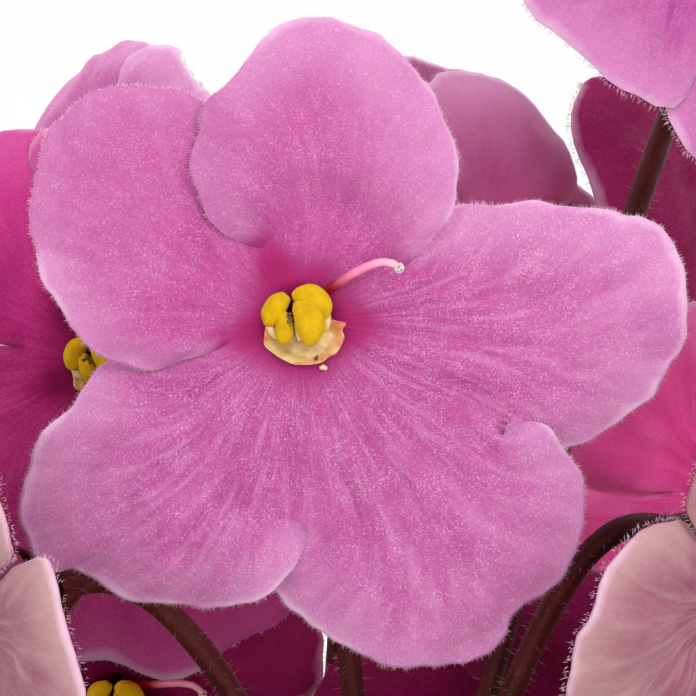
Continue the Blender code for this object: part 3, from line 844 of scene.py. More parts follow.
# ---- stamens and style


def pod(surface, centre, half_sizes, lean, bend, seed):
    """One pollen pod: a ball flattened to a superellipse, bent along its length, with a shallow seam down its
    front and a fine uneven skin. Its value seam is 1 in the groove, where the colour is given painted shade."""
    rows, columns = 25, 32
    up = np.linspace(-math.pi / 2, math.pi / 2, rows)[:, None]
    turn = np.linspace(0, TAU, columns, endpoint=False)[None]
    cosine, sine = np.cos(up), np.sin(up)
    x = cosine * np.sign(np.cos(turn)) * np.abs(np.cos(turn)) ** 0.9
    z = cosine * np.sin(turn)
    y = np.sign(sine) * np.abs(sine) ** 0.92 * np.ones_like(turn)
    groove = np.exp(-(((x - 0.1) / 0.16) ** 2)) * (z > 0) * cosine
    skin = 1 + 0.035 * ripple(seed, 0.9, x, y, z) - 0.02 * groove
    x, y, z = x * skin * half_sizes[0], y * skin * half_sizes[1], z * skin * half_sizes[2]
    x = x + bend * (y / half_sizes[1]) ** 2
    c, s = math.cos(math.radians(lean)), math.sin(math.radians(lean))
    points = np.stack([x * c - y * s, x * s + y * c, z], axis=-1) + centre
    side = np.clip(1 - np.abs(z) / half_sizes[2] * 1.5, 0, 1) + 0.5 * (z < 0)
    surface.add(points, grid_faces(rows, columns, True), 0, seam=groove.reshape(-1), side=side.reshape(-1))


def filament_cup(surface, seed):
    """The two broad filaments, crumpled into one ruffled cup: from a middle under the pods, grids run out to a
    wavy rim that stands forward, with folds that sharpen towards it. Its value edge is 1 at the rim."""
    rim = smooth_line(
        ((-1.2, 0.5), (-1.85, -0.2), (-2.0, -0.85), (-1.98, -1.35), (-1.6, -1.72), (-1.07, -2.08), (-0.4, -2.4),
         (0.1, -2.46), (0.75, -2.42), (1.25, -2.3), (1.62, -2.02), (2.05, -1.78), (2.35, -1.3), (2.5, -0.86),
         (2.38, -0.5), (2.6, -0.12), (2.1, 0.02), (1.55, 0.2), (0.9, 0.5)), 120)
    along = np.linspace(0, 1, 120)[None]
    out = np.linspace(0, 1, 30)[:, None]
    middle = np.array((0.15, -0.65))
    x = middle[0] + (rim[None, :, 0] - middle[0]) * out
    y = middle[1] + (rim[None, :, 1] - middle[1]) * out
    folds = ripple(seed, 0.16, along) * 0.16 + ripple(seed + 1, 0.07, along) * 0.09
    lip = 0.5 + 0.5 * ease((x - 0.6) / 1.2)
    z = 2.05 - 0.75 * ease(out / 0.8) + 0.5 * lip * ease((out - 0.66) / 0.34) + folds * out**1.5 * lip
    z = z + ripple(seed + 2, 0.8, x, y) * 0.1
    points = np.stack([x, y, z], axis=-1)
    edge = ease((out - 0.72) / 0.28) * np.ones_like(along)
    surface.add(points, grid_faces(30, 120), 1, edge=edge.reshape(-1))
    under = points - (0, 0, 0.16)
    under[-1] = points[-1]
    surface.add(under, grid_faces(30, 120)[:, ::-1], 1, edge=edge.reshape(-1))
    for foot in ((-0.9, -1.5), (1.1, -1.6)):
        start, end = (foot[0] * 0.85, -1.95, -0.1), (foot[0] * 0.6, -0.7, 0.9)
        path = bezier(start, (foot[0], -1.8, 0.3), (*foot, 0.5), end, 10)
        surface.tube(path, np.linspace(0.36, 0.5, 10), 12, 1, edge=0.2)


def make_stamens(number, flower, looks):
    _, place, direction, turn, size, _ = flower
    surface = Surface()
    seed = 900 + number
    pod(surface, (-1.42, 0.7, 2.3), (0.64, 1.06, 0.6), -32, 0.14, seed)
    pod(surface, (-0.84, -0.34, 2.42), (0.52, 0.98, 0.55), 4, -0.1, seed + 1)
    pod(surface, (0.8, 1.2, 2.3), (0.8, 1.22, 0.62), 56, -0.24, seed + 2)
    pod(surface, (0.58, -0.02, 2.75), (0.84, 1.32, 0.64), 16, -0.26, seed + 3)
    filament_cup(surface, seed + 4)
    ridge = bezier((-0.25, 1.0, 2.3), (-0.2, 0.4, 2.75), (-0.22, -0.3, 2.8), (0.02, -1.05, 2.4), 14)
    surface.tube(ridge, 0.13, 10, 2)
    left_web = bezier((-1.8, 0.2, 1.9), (-1.7, -0.3, 2.15), (-1.5, -0.6, 2.1), (-1.3, -0.95, 1.75), 10)
    surface.tube(left_web, (0.1, 0.18, 0.23, 0.26, 0.26, 0.26, 0.25, 0.22, 0.18, 0.1), 10, 2)
    right_web = bezier((1.3, 0.75, 1.9), (1.5, 0.3, 2.0), (1.5, -0.1, 1.95), (1.4, -0.5, 1.7), 10)
    surface.tube(right_web, (0.12, 0.2, 0.26, 0.3, 0.3, 0.3, 0.28, 0.25, 0.2, 0.12), 10, 2)
    dice = np.random.default_rng(seed + 9)
    for _ in range(7):
        spot = np.array((-0.62, 0.1, 2.78)) + dice.normal(0, 0.1, 3) * (1, 1.3, 0.5)
        path = spot + np.array(((-0.06, 0, 0), (0, 0.05, 0.06), (0.07, 0.02, 0)))
        surface.tube(path, dice.uniform(0.07, 0.13), 8, 3)
    surface.tube(((0.88, -2.2, 1.5), (0.92, -2.08, 1.56), (0.98, -1.94, 1.5)), (0.07, 0.12, 0.07), 8, 3)
    surface.tube(((1.12, -2.62, 1.2), (1.3, -2.56, 1.26), (1.48, -2.66, 1.2)), (0.12, 0.16, 0.13), 10, 2)
    axes = facing(direction, turn)
    thing = surface.make(f"anthers_{number:02d}", looks, axes, place, size, weld=0.001)
    settle(thing, f"stamens_{number:02d}")


STYLE_KNOTS = (
    (0, 0, -3.5), (0.1, 0.15, -2.0), (0.8, 0.9, -0.2), (1.45, 1.6, 1.2), (2.5, 2.36, 2.0),
    (3.25, 2.8, 2.3), (4.0, 3.14, 2.5), (4.7, 3.3, 2.62), (5.2, 3.2, 2.7), (5.5, 3.02, 2.75),
)


def make_pistil(number, flower, looks):
    """Ovary, tapered style and a beaded stigma. Its value along runs from 0 at the foot to 1 at the tip."""
    _, place, direction, turn, size, _ = flower
    surface = Surface()
    steps = 60
    path = smooth_line(STYLE_KNOTS, steps)
    along = np.linspace(0, 1, steps)
    radius = 0.21 + 0.16 * (1 - along) + 0.55 * np.exp(-((along / 0.16) ** 2)) * 0.9
    radius = radius * (1 + 0.04 * ripple(number, 0.07, along))
    surface.tube(path, radius, 16, 0, along=along)
    dice = np.random.default_rng(40 + number)
    tip = path[-1]
    for _ in range(26):
        way = unit(dice.normal(size=3) + (0.5, -0.5, 0.4))
        spot = tip + way * 0.24 * (1, 1, 0.8) + (0.04, -0.05, 0.04)
        reach = dice.uniform(0.07, 0.12)
        bead = spot + way * np.array((-0.05, 0, 0.05))[:, None]
        surface.tube(bead, (reach * 0.8, reach, reach * 0.7), 8, 1)
    axes = facing(direction, turn)
    thing = surface.make(f"style_{number:02d}", looks, axes, place, size)
    settle(thing, f"pistil_{number:02d}")


def anther_materials():
    pollen, tree, shader = new_material("pollen_pod", Roughness=0.5, Specular_IOR_Level=0.12, Subsurface_Weight=0.12,
                                        Subsurface_Radius=(1.0, 0.7, 0.1), Subsurface_Scale=0.0006)
    here = place_coords(tree)
    drift = noise(tree, here, 1400.0, 3.0)
    grain = noise(tree, here, 9000.0, 2.0)
    colour = mix(tree, spread(tree, drift, 0.35, 0.65), rgb(196, 152, 0), rgb(214, 174, 0))
    # painted shade: a darker orange in the groove down each pod's front
    colour = mix(tree, times(tree, attribute(tree, "seam"), 0.2), colour, rgb(190, 126, 0))
    pale = times(tree, attribute(tree, "side"), spread(tree, drift, 0.3, 0.7, 0.05, 0.4), True)
    colour = mix(tree, pale, colour, rgb(230, 200, 90))
    colour = stain(tree, spread(tree, grain, 0.45, 0.7, 0.0, 0.3), colour, (0.86, 0.74, 0.5, 1))
    paint(tree, shader, colour)
    roughen(tree, shader, 0.35, 0.00006, grain)

    cup, tree, shader = new_material("filament_cup", Roughness=0.45, Subsurface_Weight=0.4,
                                     Subsurface_Radius=(1.0, 0.6, 0.35), Subsurface_Scale=0.0008)
    here = place_coords(tree)
    drift = noise(tree, here, 1100.0, 4.0)
    colour = mix(tree, spread(tree, drift, 0.35, 0.7), rgb(222, 178, 92), rgb(238, 205, 150))
    # painted shade: a brownish green laid into the cup's hollow middle, away from its rim
    deep_painted_shade = spread(tree, attribute(tree, "edge"), 0.0, 0.5, 0.55, 0.0)
    deep_painted_shade = times(tree, deep_painted_shade, spread(tree, noise(tree, here, 900.0, 2.0), 0.4, 0.62))
    colour = mix(tree, deep_painted_shade, colour, rgb(150, 112, 48))
    blush = noise(tree, here, 700.0, 2.0)
    blush = times(tree, spread(tree, blush, 0.36, 0.54), attribute(tree, "edge"))
    colour = mix(tree, times(tree, blush, 0.85), colour, rgb(228, 84, 84))
    paint(tree, shader, colour)
    roughen(tree, shader, 0.4, 0.0001, drift)

    web, tree, shader = new_material("pale_web", Roughness=0.4, Subsurface_Weight=0.4,
                                     Subsurface_Radius=(1.0, 0.7, 0.5), Subsurface_Scale=0.0006)
    drift = noise(tree, place_coords(tree), 2400.0, 3.0)
    paint(tree, shader, mix(tree, drift, rgb(226, 190, 120), rgb(240, 222, 170)))

    pore, tree, shader = new_material("dried_pore", Roughness=0.8)
    drift = noise(tree, place_coords(tree), 6000.0, 4.0, 0.7)
    paint(tree, shader, mix(tree, spread(tree, drift, 0.4, 0.62), rgb(44, 22, 10), rgb(150, 112, 60)))
    roughen(tree, shader, 0.8, 0.0001, drift)
    return [pollen, cup, web, pore]


def pistil_materials():
    style, tree, shader = new_material("style_skin", Roughness=0.36, Subsurface_Weight=0.3,
                                       Subsurface_Radius=(1.0, 0.4, 0.4), Subsurface_Scale=0.0006)
    here = place_coords(tree)
    drift = noise(tree, here, 3000.0, 3.0)
    along = attribute(tree, "along")
    colour = mix(tree, spread(tree, along, 0.6, 0.76), rgb(150, 0, 24), rgb(240, 134, 170))
    colour = mix(tree, spread(tree, along, 0.78, 0.95), colour, rgb(248, 184, 206))
    colour = stain(tree, spread(tree, drift, 0.4, 0.7, 0, 0.35), colour, (0.85, 0.6, 0.7, 1))
    paint(tree, shader, colour)
    roughen(tree, shader, 0.35, 0.00006, drift)
    bead, tree, shader = new_material("stigma_bead", Roughness=0.22, Subsurface_Weight=0.5,
                                      Subsurface_Radius=(1.0, 0.7, 0.7), Subsurface_Scale=0.0004)
    drift = noise(tree, place_coords(tree), 5000.0, 2.0)
    paint(tree, shader, mix(tree, drift, rgb(236, 190, 190), rgb(250, 232, 224)))
    return [style, bead]


# ---- flower stems, calyces and buds


def crown_root(direction, height_angle):
    """A point just off the crown's dome and the way its surface faces there, in mm."""
    around, lift = math.radians(direction), math.radians(height_angle)
    out = np.array((math.cos(around), math.sin(around), 0))
    spot = out * CROWN_RADIUS * math.cos(lift) + (0, 0, CROWN_BASE + CROWN_HEIGHT * math.sin(lift))
    away = unit(out * math.cos(lift) / CROWN_RADIUS + (0, 0, math.sin(lift) / CROWN_HEIGHT))
    return spot + away * GAP, away


def stem_hairs(surface, path, radius, count, length, dice):
    """Fine hairs that stand square off a rod, scattered over its length."""
    at = dice.uniform(0, len(path) - 1.001, count)
    step = at.astype(int)
    f = (at - step)[:, None]
    spot = path[step] * (1 - f) + path[step + 1] * f
    ahead = unit(path[step + 1] - path[step])
    away = dice.normal(size=(count, 3))
    away = unit(away - ahead * np.sum(away * ahead, axis=1)[:, None])
    lean = away + ahead * dice.normal(0, 0.2, (count, 1))
    surface.hairs(spot + away * radius * 0.9, lean, length * dice.uniform(0.5, 1.1, count), 0.022, 1)


def sepal(surface, axes, place, size, way):
    """One sepal: a grid from the cup out to a point, hollowed like a spoon and doubled for its thickness."""
    rows, columns = 14, 9
    s = np.linspace(0, 1, rows)[:, None]
    t = np.linspace(-1, 1, columns)[None]
    half = 0.95 * (1 - s) ** 0.75 * (0.72 + 0.9 * s * (1 - s))
    out = 1.3 + 3.3 * s + 0 * t
    across = half * t
    ahead = -CALYX_FRONT - 0.9 + 0.75 * s + 0.35 * t**2 * (1 - s) + 0.25 * s**2
    c, n = math.cos(way), math.sin(way)
    points = np.stack([out * c - across * n, out * n + across * c, ahead + 0 * t], axis=-1) * size
    back = points - (0, 0, 0.32 * size)
    back[:, 0], back[:, -1], back[-1] = points[:, 0], points[:, -1], points[-1]
    surface.add(points @ axes.T + place, grid_faces(rows, columns))
    surface.add(back @ axes.T + place, grid_faces(rows, columns)[:, ::-1])


def calyx(surface, axes, place, size, dice):
    """The cup behind a flower: a turned bowl whose front is shut, with five sepals and hairs all over."""
    profile = ((1.7, -CALYX_FRONT), (1.95, -4.2), (1.9, -4.8), (1.55, -5.6), (1.1, -6.2), (0.85, -6.6), (0.02, -6.7))
    line = np.vstack([(0.02, -CALYX_FRONT), smooth_line(profile, 18)])
    turn = np.linspace(0, TAU, 20, endpoint=False)
    ribs = 1 + 0.05 * np.cos(5 * turn)
    points = turned(line[:, :1] * ribs, turn, line[:, 1:]) * size
    surface.add(points @ axes.T + place, grid_faces(len(line), 20, True)[:, ::-1], 0)
    for k in range(5):
        sepal(surface, axes, place, size, TAU * (k + 0.1) / 5)
    count = 130
    ways = dice.uniform(0, TAU, count)
    level = dice.uniform(0, 1, count)
    radius = 1.0 + 0.9 * np.sin(level * 2.4)
    roots = np.stack([radius * np.cos(ways), radius * np.sin(ways), -6.5 + 2.4 * level], axis=1) * size
    normals = np.stack([np.cos(ways), np.sin(ways), dice.normal(-0.3, 0.3, count)], axis=1)
    surface.hairs(roots @ axes.T + place, normals @ axes.T, 0.8 * dice.uniform(0.4, 1.1, count), 0.02, 1)


def make_stem(index, looks):
    """A flower stem: a tapered rod from the crown, a swollen joint, and side stems that bend round to each calyx."""
    direction, height_angle, end = STEMS[index - 1]
    surface = Surface()
    dice = np.random.default_rng(700 + index)
    root, away = crown_root(direction, height_angle)
    top = np.array(end, float)
    lean = unit(top * (1, 1, 0))
    path = bezier(root, root + away * 9, top - (lean * 0.35 + (0, 0, 1)) * 10, top, 40)
    share = np.linspace(0, 1, 40)
    radii = STEM_RADIUS * (1.15 - 0.2 * share) + 0.45 * np.exp(-(((share - 1) / 0.04) ** 2))
    surface.tube(path, radii * (1 + 0.03 * ripple(index, 0.2, share)), 18, 0)
    stem_hairs(surface, path, STEM_RADIUS, 420, 1.0, dice)
    heading = unit(path[-1] - path[-2])
    ends = [(np.array(f[1], float), facing(f[2], f[3]), f[4]) for f in FLOWERS if f[0] == index]
    ends += [(np.array(b[1], float), facing(b[2], 0), b[3]) for b in BUDS if b[0] == index]
    for number, (place, axes, size) in enumerate(ends):
        forward = axes[:, 2]
        back = place - forward * (CALYX_BACK * size - 0.5)
        span = np.linalg.norm(back - top)
        leave = unit(heading * 0.5 + unit(back - top) * 0.5)
        line = bezier(top, top + leave * span * 0.35, back - forward * min(span * 0.32, 9), back, 36)
        share = np.linspace(0, 1, 36)
        radii = BRANCH_RADIUS + 0.5 * np.exp(-((share / 0.05) ** 2)) + 0.2 * np.exp(-(((share - 1) / 0.06) ** 2))
        surface.tube(line, radii * (1 + 0.04 * ripple(index * 9 + number, 0.2, share)), 14, 0)
        stem_hairs(surface, line, BRANCH_RADIUS, 330, 0.8, dice)
        calyx(surface, axes, place, size, dice)
    thing = surface.make(f"flower_stem_skin_{index}", looks)
    settle(thing, f"flower_stem_{index}")


def make_bud(number, bud, looks, hair):
    """A closed bud: five petals wrapped into an egg with a blunt tip; furrows mark where they overlap."""
    _, place, direction, size = bud
    axes = facing(direction, 0)
    surface = Surface()
    up = np.linspace(0, math.pi, 40)[:, None]
    turn = np.linspace(0, TAU, 60, endpoint=False)[None]
    level = (1 - np.cos(up)) / 2
    twist = turn + level * 0.9
    furrow = np.abs(np.sin(2.5 * twist)) ** 0.5
    radius = np.sin(up) * 2.6 * (1.15 - 0.35 * level) * (0.93 + 0.07 * furrow)
    z = level * 8.4 - TUBE_DEPTH + 0 * turn
    points = turned(radius, turn, z) * size
    tone = (0.15 + 0.6 * level + 0.15 * (1 - furrow)).reshape(-1)
    flow = np.stack([np.cos(turn) + 0 * z, np.sin(turn) + 0 * z, z * 1.5], axis=-1)
    surface.add(
        points @ axes.T + place, grid_faces(40, 60, True), 0,
        tone=tone, shade=0.5 - 0.5 * tone, flow=flow, veined=0.8,
    )
    dice = np.random.default_rng(60 + number)
    pick = dice.integers(3, 38, 300), dice.integers(0, 60, 300)
    roots = points[pick]
    normals = roots - np.array((0, 0, 1.0)) * roots[:, 2:].mean()
    lengths = 0.7 * dice.uniform(0.4, 1.1, 300)
    surface.hairs(roots @ axes.T + place, normals @ axes.T, lengths, 0.02, 1, tone=1.0)
    # the bud wears the darkest petal finish, its front colour darkened as painted shade
    thing = surface.make(f"bud_petals_{number}", [looks["deep_painted_shade"][0], hair], weld=0.0005)
    settle(thing, f"bud_{number}")


def stem_materials():
    skin, tree, shader = new_material("stem_skin", Specular_IOR_Level=0.22,
                                      Subsurface_Weight=0.12, Subsurface_Radius=(1.0, 0.35, 0.25),
                                      Subsurface_Scale=0.0008)
    here = place_coords(tree)
    drift = noise(tree, here, 140.0, 4.0)
    grain = noise(tree, scaled(tree, here, (1.0, 1.0, 0.35)), 2600.0, 3.0)
    colour = mix(tree, spread(tree, drift, 0.35, 0.7), rgb(62, 6, 14), rgb(100, 26, 30))
    colour = mix(tree, spread(tree, drift, 0.64, 0.8, 0, 0.35), colour, rgb(92, 74, 38))
    colour = stain(tree, spread(tree, grain, 0.4, 0.7, 0.0, 0.4), colour, (0.55, 0.42, 0.4, 1))
    paint(tree, shader, colour)
    plug(tree, spread(tree, grain, 0.3, 0.7, 0.42, 0.62), shader.inputs["Roughness"])
    roughen(tree, shader, 0.4, 0.0002, grain)
    return [skin, hair_material("stem_hair", rgb(120, 50, 66))]


# ---- leaves and crown


def blade_width(share):
    """Half width of a blade along its length: 0 at both ends and 1 at the widest."""
    return np.clip(share, 0, 1) ** 0.5 * np.clip(1 - share, 0, 1) ** 0.42 / 0.529


def leaf_frame(tier, direction, count):
    """Midrib of a leaf with its ways ahead, aside and above, at even steps, in mm."""
    around = math.radians(direction)
    out = np.array((math.cos(around), math.sin(around), 0))
    aside = np.array((-math.sin(around), math.cos(around), 0))
    root, away = crown_root(direction, tier[2])
    knots = [root] + [out * reach + (0, 0, up) for reach, up in tier[3]]
    knots[1] = knots[0] + away * np.linalg.norm(knots[1] - knots[0])
    path = bezier(*knots, count)
    ahead = unit(np.gradient(path, axis=0))
    above = unit(np.cross(ahead, aside))
    above = above * np.sign(above[:, 2:])
    return path, ahead, aside, above


def make_leaf(number, tier, direction, looks):
    """One leaf: rings laid along the midrib, round in the stalk and flat in the blade. The blade's height sums
    its edge lift, a valley over the midrib, quilting that swells between side veins which sweep forward, and
    small puckers; its margin has rounded teeth. rib is 1 on a vein, under is 1 below."""
    count, _, _, _, blade_from, half_width, stalk, edge_lift = tier
    small = count == 4
    rows, half_columns = (96, 34) if small else (124, 40)
    path, _, aside, above = leaf_frame(tier, direction, rows)
    dice = np.random.default_rng(300 + number)
    along = np.linspace(0, 1, rows)[:, None]
    share = (along - blade_from) / (1 - blade_from)
    opened = blade_width(share)
    top = np.cos(np.linspace(0, math.pi, half_columns + 1))[:-1]
    across = np.r_[top, -top][None]
    over = np.sqrt(np.clip(1 - across**2, 0, 1)) * np.r_[np.ones(half_columns), -np.ones(half_columns)][None]
    flat = np.clip(opened * 1.6, 0, 1)
    pitch = 11 if small else 15
    teeth = np.abs(np.sin(math.pi * pitch * share + 0.8 * np.sign(across))) ** 0.6 * opened**0.3
    wide = stalk + (half_width - stalk) * opened * (0.965 + 0.035 * teeth)
    round_thick = stalk * over
    blade_thick = np.where(over > 0, 0.7, 0.6) * np.abs(over) ** 0.55 * np.sign(over)
    thick = round_thick * (1 - flat) + blade_thick * flat
    side = np.abs(across)
    phase = share * 7.2 - side * 1.15 + side**2 * 0.25 + 0.25 * (across > 0) + dice.uniform(0, 1)
    swell = np.abs(np.sin(math.pi * phase)) ** 0.75
    net = ripple(300 + number, 5.0, share * 60, across * half_width)
    fine = ripple(330 + number, 2.2, share * 60, across * half_width)
    inner = np.clip(1 - side**5, 0, 1) * flat
    midrib = np.exp(-((across * wide / 1.5) ** 2)) * flat
    quilt = (0.95 * swell + 0.3 * net + 0.16 * fine) * inner * (1 - midrib)
    droop = ripple(360 + number, 30.0, share * 60, across * half_width) * 1.1 * opened
    edge_wave = ripple(390 + number, 9.0, share * 60, np.sign(across) * 3) * 0.7 * side**4 * opened
    lift = edge_lift * opened * across**2 + droop + edge_wave
    top_height = lift + thick + quilt * 0.9 - 0.5 * midrib
    low_height = lift + thick + quilt * 0.8 - 0.9 * midrib * np.clip(1 - 0.6 * along, 0, 1)
    height = np.where(over > 0, top_height, low_height)
    groove = 0.35 * stalk * np.exp(-((across / 0.35) ** 2)) * (over > 0) * (1 - flat) * ease(along / 0.2)
    height = height - groove
    ends = np.sqrt(np.clip(1 - (2 * along - 1) ** 24, 0, 1))
    sideways = aside * (wide * across * ends)[..., None]
    points = path[:, None] + sideways + above[:, None] * (height * ends)[..., None]
    vein = np.clip(1 - swell * 1.8, 0, 1) * inner + midrib
    plain = np.broadcast_to(1.0, height.shape)
    surface = Surface()
    surface.add(
        points, grid_faces(rows, 2 * half_columns, True), 0,
        rib=vein.reshape(-1), under=(plain * (over <= 0)).reshape(-1),
        margin=(side**10 * flat).reshape(-1), stalk=(plain * (1 - flat)).reshape(-1),
    )
    leaf_hairs(surface, points, half_columns, dice, 900 if small else 1500)
    thing = surface.make(f"leaf_skin_{number:02d}", looks, weld=0.002)
    settle(thing, f"leaf_{number:02d}")


def leaf_hairs(surface, points, half_columns, dice, count):
    """Soft hairs that stand on both faces and the stalk of a leaf, thicker along its margins."""
    rows = len(points)
    columns = 2 * half_columns
    at = dice.integers(1, rows - 2, count)
    lot = dice.integers(0, columns, count)
    on_margin = dice.uniform(size=count) < 0.3
    edges = np.where(on_margin, np.where(dice.uniform(size=count) < 0.5, 0, half_columns), lot)
    here = points[at, edges]
    step_u = points[at + 1, edges] - points[at - 1, edges]
    step_v = points[at, (edges + 1) % columns] - points[at, edges - 1]
    normal = unit(np.cross(step_v, step_u))
    outward = here - points[at].mean(axis=1)
    normal = normal * np.sign(np.sum(normal * outward, axis=1) + 1e-9)[:, None]
    f = dice.uniform(0, 1, (count, 1))
    here = here * (1 - f) + points[at + 1, edges] * f
    lean = normal + unit(step_u) * dice.normal(0.2, 0.3, (count, 1))
    surface.hairs(here - normal * 0.05, lean, dice.uniform(0.7, 1.9, count), 0.035, 1)


def leaf_materials():
    skin, tree, shader = new_material("leaf_skin", Sheen_Weight=0.2, Sheen_Roughness=0.45, Subsurface_Weight=0.1,
                                      Subsurface_Radius=(0.4, 1.0, 0.2), Subsurface_Scale=0.0012)
    here = place_coords(tree)
    drift = noise(tree, here, 45.0, 4.0)
    cells = add_node(tree, "ShaderNodeTexVoronoi", {"feature": "DISTANCE_TO_EDGE"}, Vector=here, Scale=520.0)
    net = spread(tree, cells.outputs["Distance"], 0.0, 0.12)
    fine = noise(tree, here, 3200.0, 3.0)
    above = mix(tree, spread(tree, drift, 0.35, 0.68), rgb(50, 84, 40), rgb(84, 124, 56))
    above = mix(tree, times(tree, attribute(tree, "rib"), 0.6), above, rgb(118, 148, 84))
    above = stain(tree, spread(tree, net, 0.0, 1.0, 0.4, 0.0), above, (0.7, 0.8, 0.6, 1))
    below = mix(tree, spread(tree, drift, 0.35, 0.65), rgb(150, 154, 116), rgb(150, 104, 100))
    below = mix(tree, times(tree, attribute(tree, "rib"), 0.7), below, rgb(176, 150, 120))
    colour = mix(tree, attribute(tree, "under"), above, below)
    stalk = mix(tree, spread(tree, drift, 0.3, 0.7), rgb(112, 116, 62), rgb(122, 66, 50))
    colour = mix(tree, attribute(tree, "stalk"), colour, stalk)
    colour = mix(tree, times(tree, attribute(tree, "margin"), 0.5), colour, rgb(146, 120, 84))
    colour = stain(tree, spread(tree, fine, 0.4, 0.7, 0.0, 0.3), colour, (0.7, 0.75, 0.6, 1))
    paint(tree, shader, colour)
    plug(tree, spread(tree, fine, 0.3, 0.7, 0.44, 0.62), shader.inputs["Roughness"])
    height = plus(tree, times(tree, net, 0.8), times(tree, fine, 0.4))
    roughen(tree, shader, 0.5, 0.0004, height)
    return [skin, hair_material("leaf_hair", rgb(205, 214, 190))]


def make_crown(looks):
    """The short trunk: a dome with shallow scars of fallen leaves on a climbing spiral, and hairs."""
    lift = np.linspace(0, math.pi / 2, 46)[:, None]
    turn = np.linspace(0, TAU, 80, endpoint=False)[None]
    scars = np.clip(np.sin(5 * turn + lift * 14) * np.sin(lift * 13) - 0.2, 0, 1)
    swell = 1 - 0.045 * scars + 0.012 * ripple(7, 0.5, np.cos(turn), np.sin(turn), lift * 2)
    out = CROWN_RADIUS * np.cos(lift) * swell
    up = CROWN_BASE + CROWN_HEIGHT * np.sin(lift) * (1 + 0.01 * (swell - 1)) + 0 * turn
    foot = turned(0, turn, CROWN_BASE)
    dome = turned(out, turn, up)
    points = np.concatenate([foot, dome])
    surface = Surface()
    mark = np.concatenate([0 * turn, scars])
    surface.add(points, grid_faces(len(points), 80, True), 0, rib=mark.reshape(-1))
    dice = np.random.default_rng(17)
    pick = dice.integers(1, 40, 500), dice.integers(0, 80, 500)
    roots = dome[pick]
    normals = roots - (0, 0, CROWN_BASE)
    surface.hairs(roots, normals, dice.uniform(0.6, 1.5, 500), 0.03, 1)
    thing = surface.make("crown_skin", looks, weld=0.002)
    settle(thing, "crown")


def crown_materials():
    skin, tree, shader = new_material("crown_bark", Roughness=0.75)
    here = place_coords(tree)
    drift = noise(tree, here, 220.0, 5.0)
    fine = noise(tree, here, 1800.0, 3.0)
    colour = mix(tree, spread(tree, drift, 0.35, 0.65), rgb(96, 92, 48), rgb(132, 116, 70))
    colour = mix(tree, times(tree, attribute(tree, "rib"), 0.8), colour, rgb(92, 66, 44))
    paint(tree, shader, colour)
    roughen(tree, shader, 0.6, 0.0005, fine)
    return [skin, hair_material("crown_hair", rgb(190, 180, 150))]


# ---- soil and pot


def pot_inner(up):
    """Inside radius of the pot at a height, in mm."""
    share = (up - POT_FLOOR) / (POT_HEIGHT - POT_FLOOR)
    top = POT_TOP - POT_WALL - RIM_STEP
    return POT_BASE - POT_WALL + (top - POT_BASE + POT_WALL) * share


def make_soil(looks):
    """Potting soil: a turned surface whose top rolls and crumbles, with lumps of bark and perlite half sunk in."""
    columns = 260
    turn = np.linspace(0, TAU, columns, endpoint=False)[None]
    wall = pot_inner(SOIL_TOP) - GAP
    knots_r = np.array((0, SOIL_SEAT, SOIL_SEAT + 9, SOIL_SEAT + 23, wall))
    knots_z = np.array((0, 0, SOIL_MOUND, SOIL_MOUND * 0.6, -1.0)) + SOIL_TOP
    radius = np.r_[np.linspace(0, SOIL_SEAT, 22), np.linspace(SOIL_SEAT, wall, 92)[1:]][:, None]
    x, y = radius * np.cos(turn), radius * np.sin(turn)
    level = np.interp(radius, knots_r, knots_z)
    crumb = ripple(3, 6.0, x, y) * 0.5 + ripple(4, 2.4, x, y) * 0.32 + np.abs(ripple(5, 1.3, x, y)) * 0.26
    rough = ease((radius - SOIL_SEAT + 1) / 3) * ease((wall - radius) / 1.5)
    top = np.stack([x, y, level + (crumb - 0.55) * rough], axis=-1)
    foot = POT_FLOOR + GAP
    lower = np.array(((wall, SOIL_TOP - 3), (pot_inner(40) - GAP, 40), (pot_inner(foot) - GAP, foot), (0, foot)))
    low = turned(lower[:, :1], turn, lower[:, 1:])
    low[0, :, 0:2] *= (pot_inner(SOIL_TOP - 3) - GAP) / wall
    surface = Surface()
    surface.add(np.concatenate([top, low])[::-1], grid_faces(len(top) + len(low), columns, True), 0)
    dice = np.random.default_rng(23)
    for kind, count, reach in ((1, 260, (0.7, 1.9)), (2, 90, (0.6, 1.3)), (1, 300, (0.3, 0.7))):
        far = np.sqrt(dice.uniform((SOIL_SEAT + 1.5) ** 2, (wall - 2.2) ** 2, count))
        way = dice.uniform(0, TAU, count)
        size = dice.uniform(*reach, count)
        height = np.interp(far, knots_r, knots_z) - 0.25 + size * 0.2
        centres = np.stack([far * np.cos(way), far * np.sin(way), height], axis=1)
        lumps(surface, centres, size, dice, kind, 0.55 if kind == 1 else 0.9)
    thing = surface.make("soil_heap", looks, weld=0.001)
    settle(thing, "potting_soil")


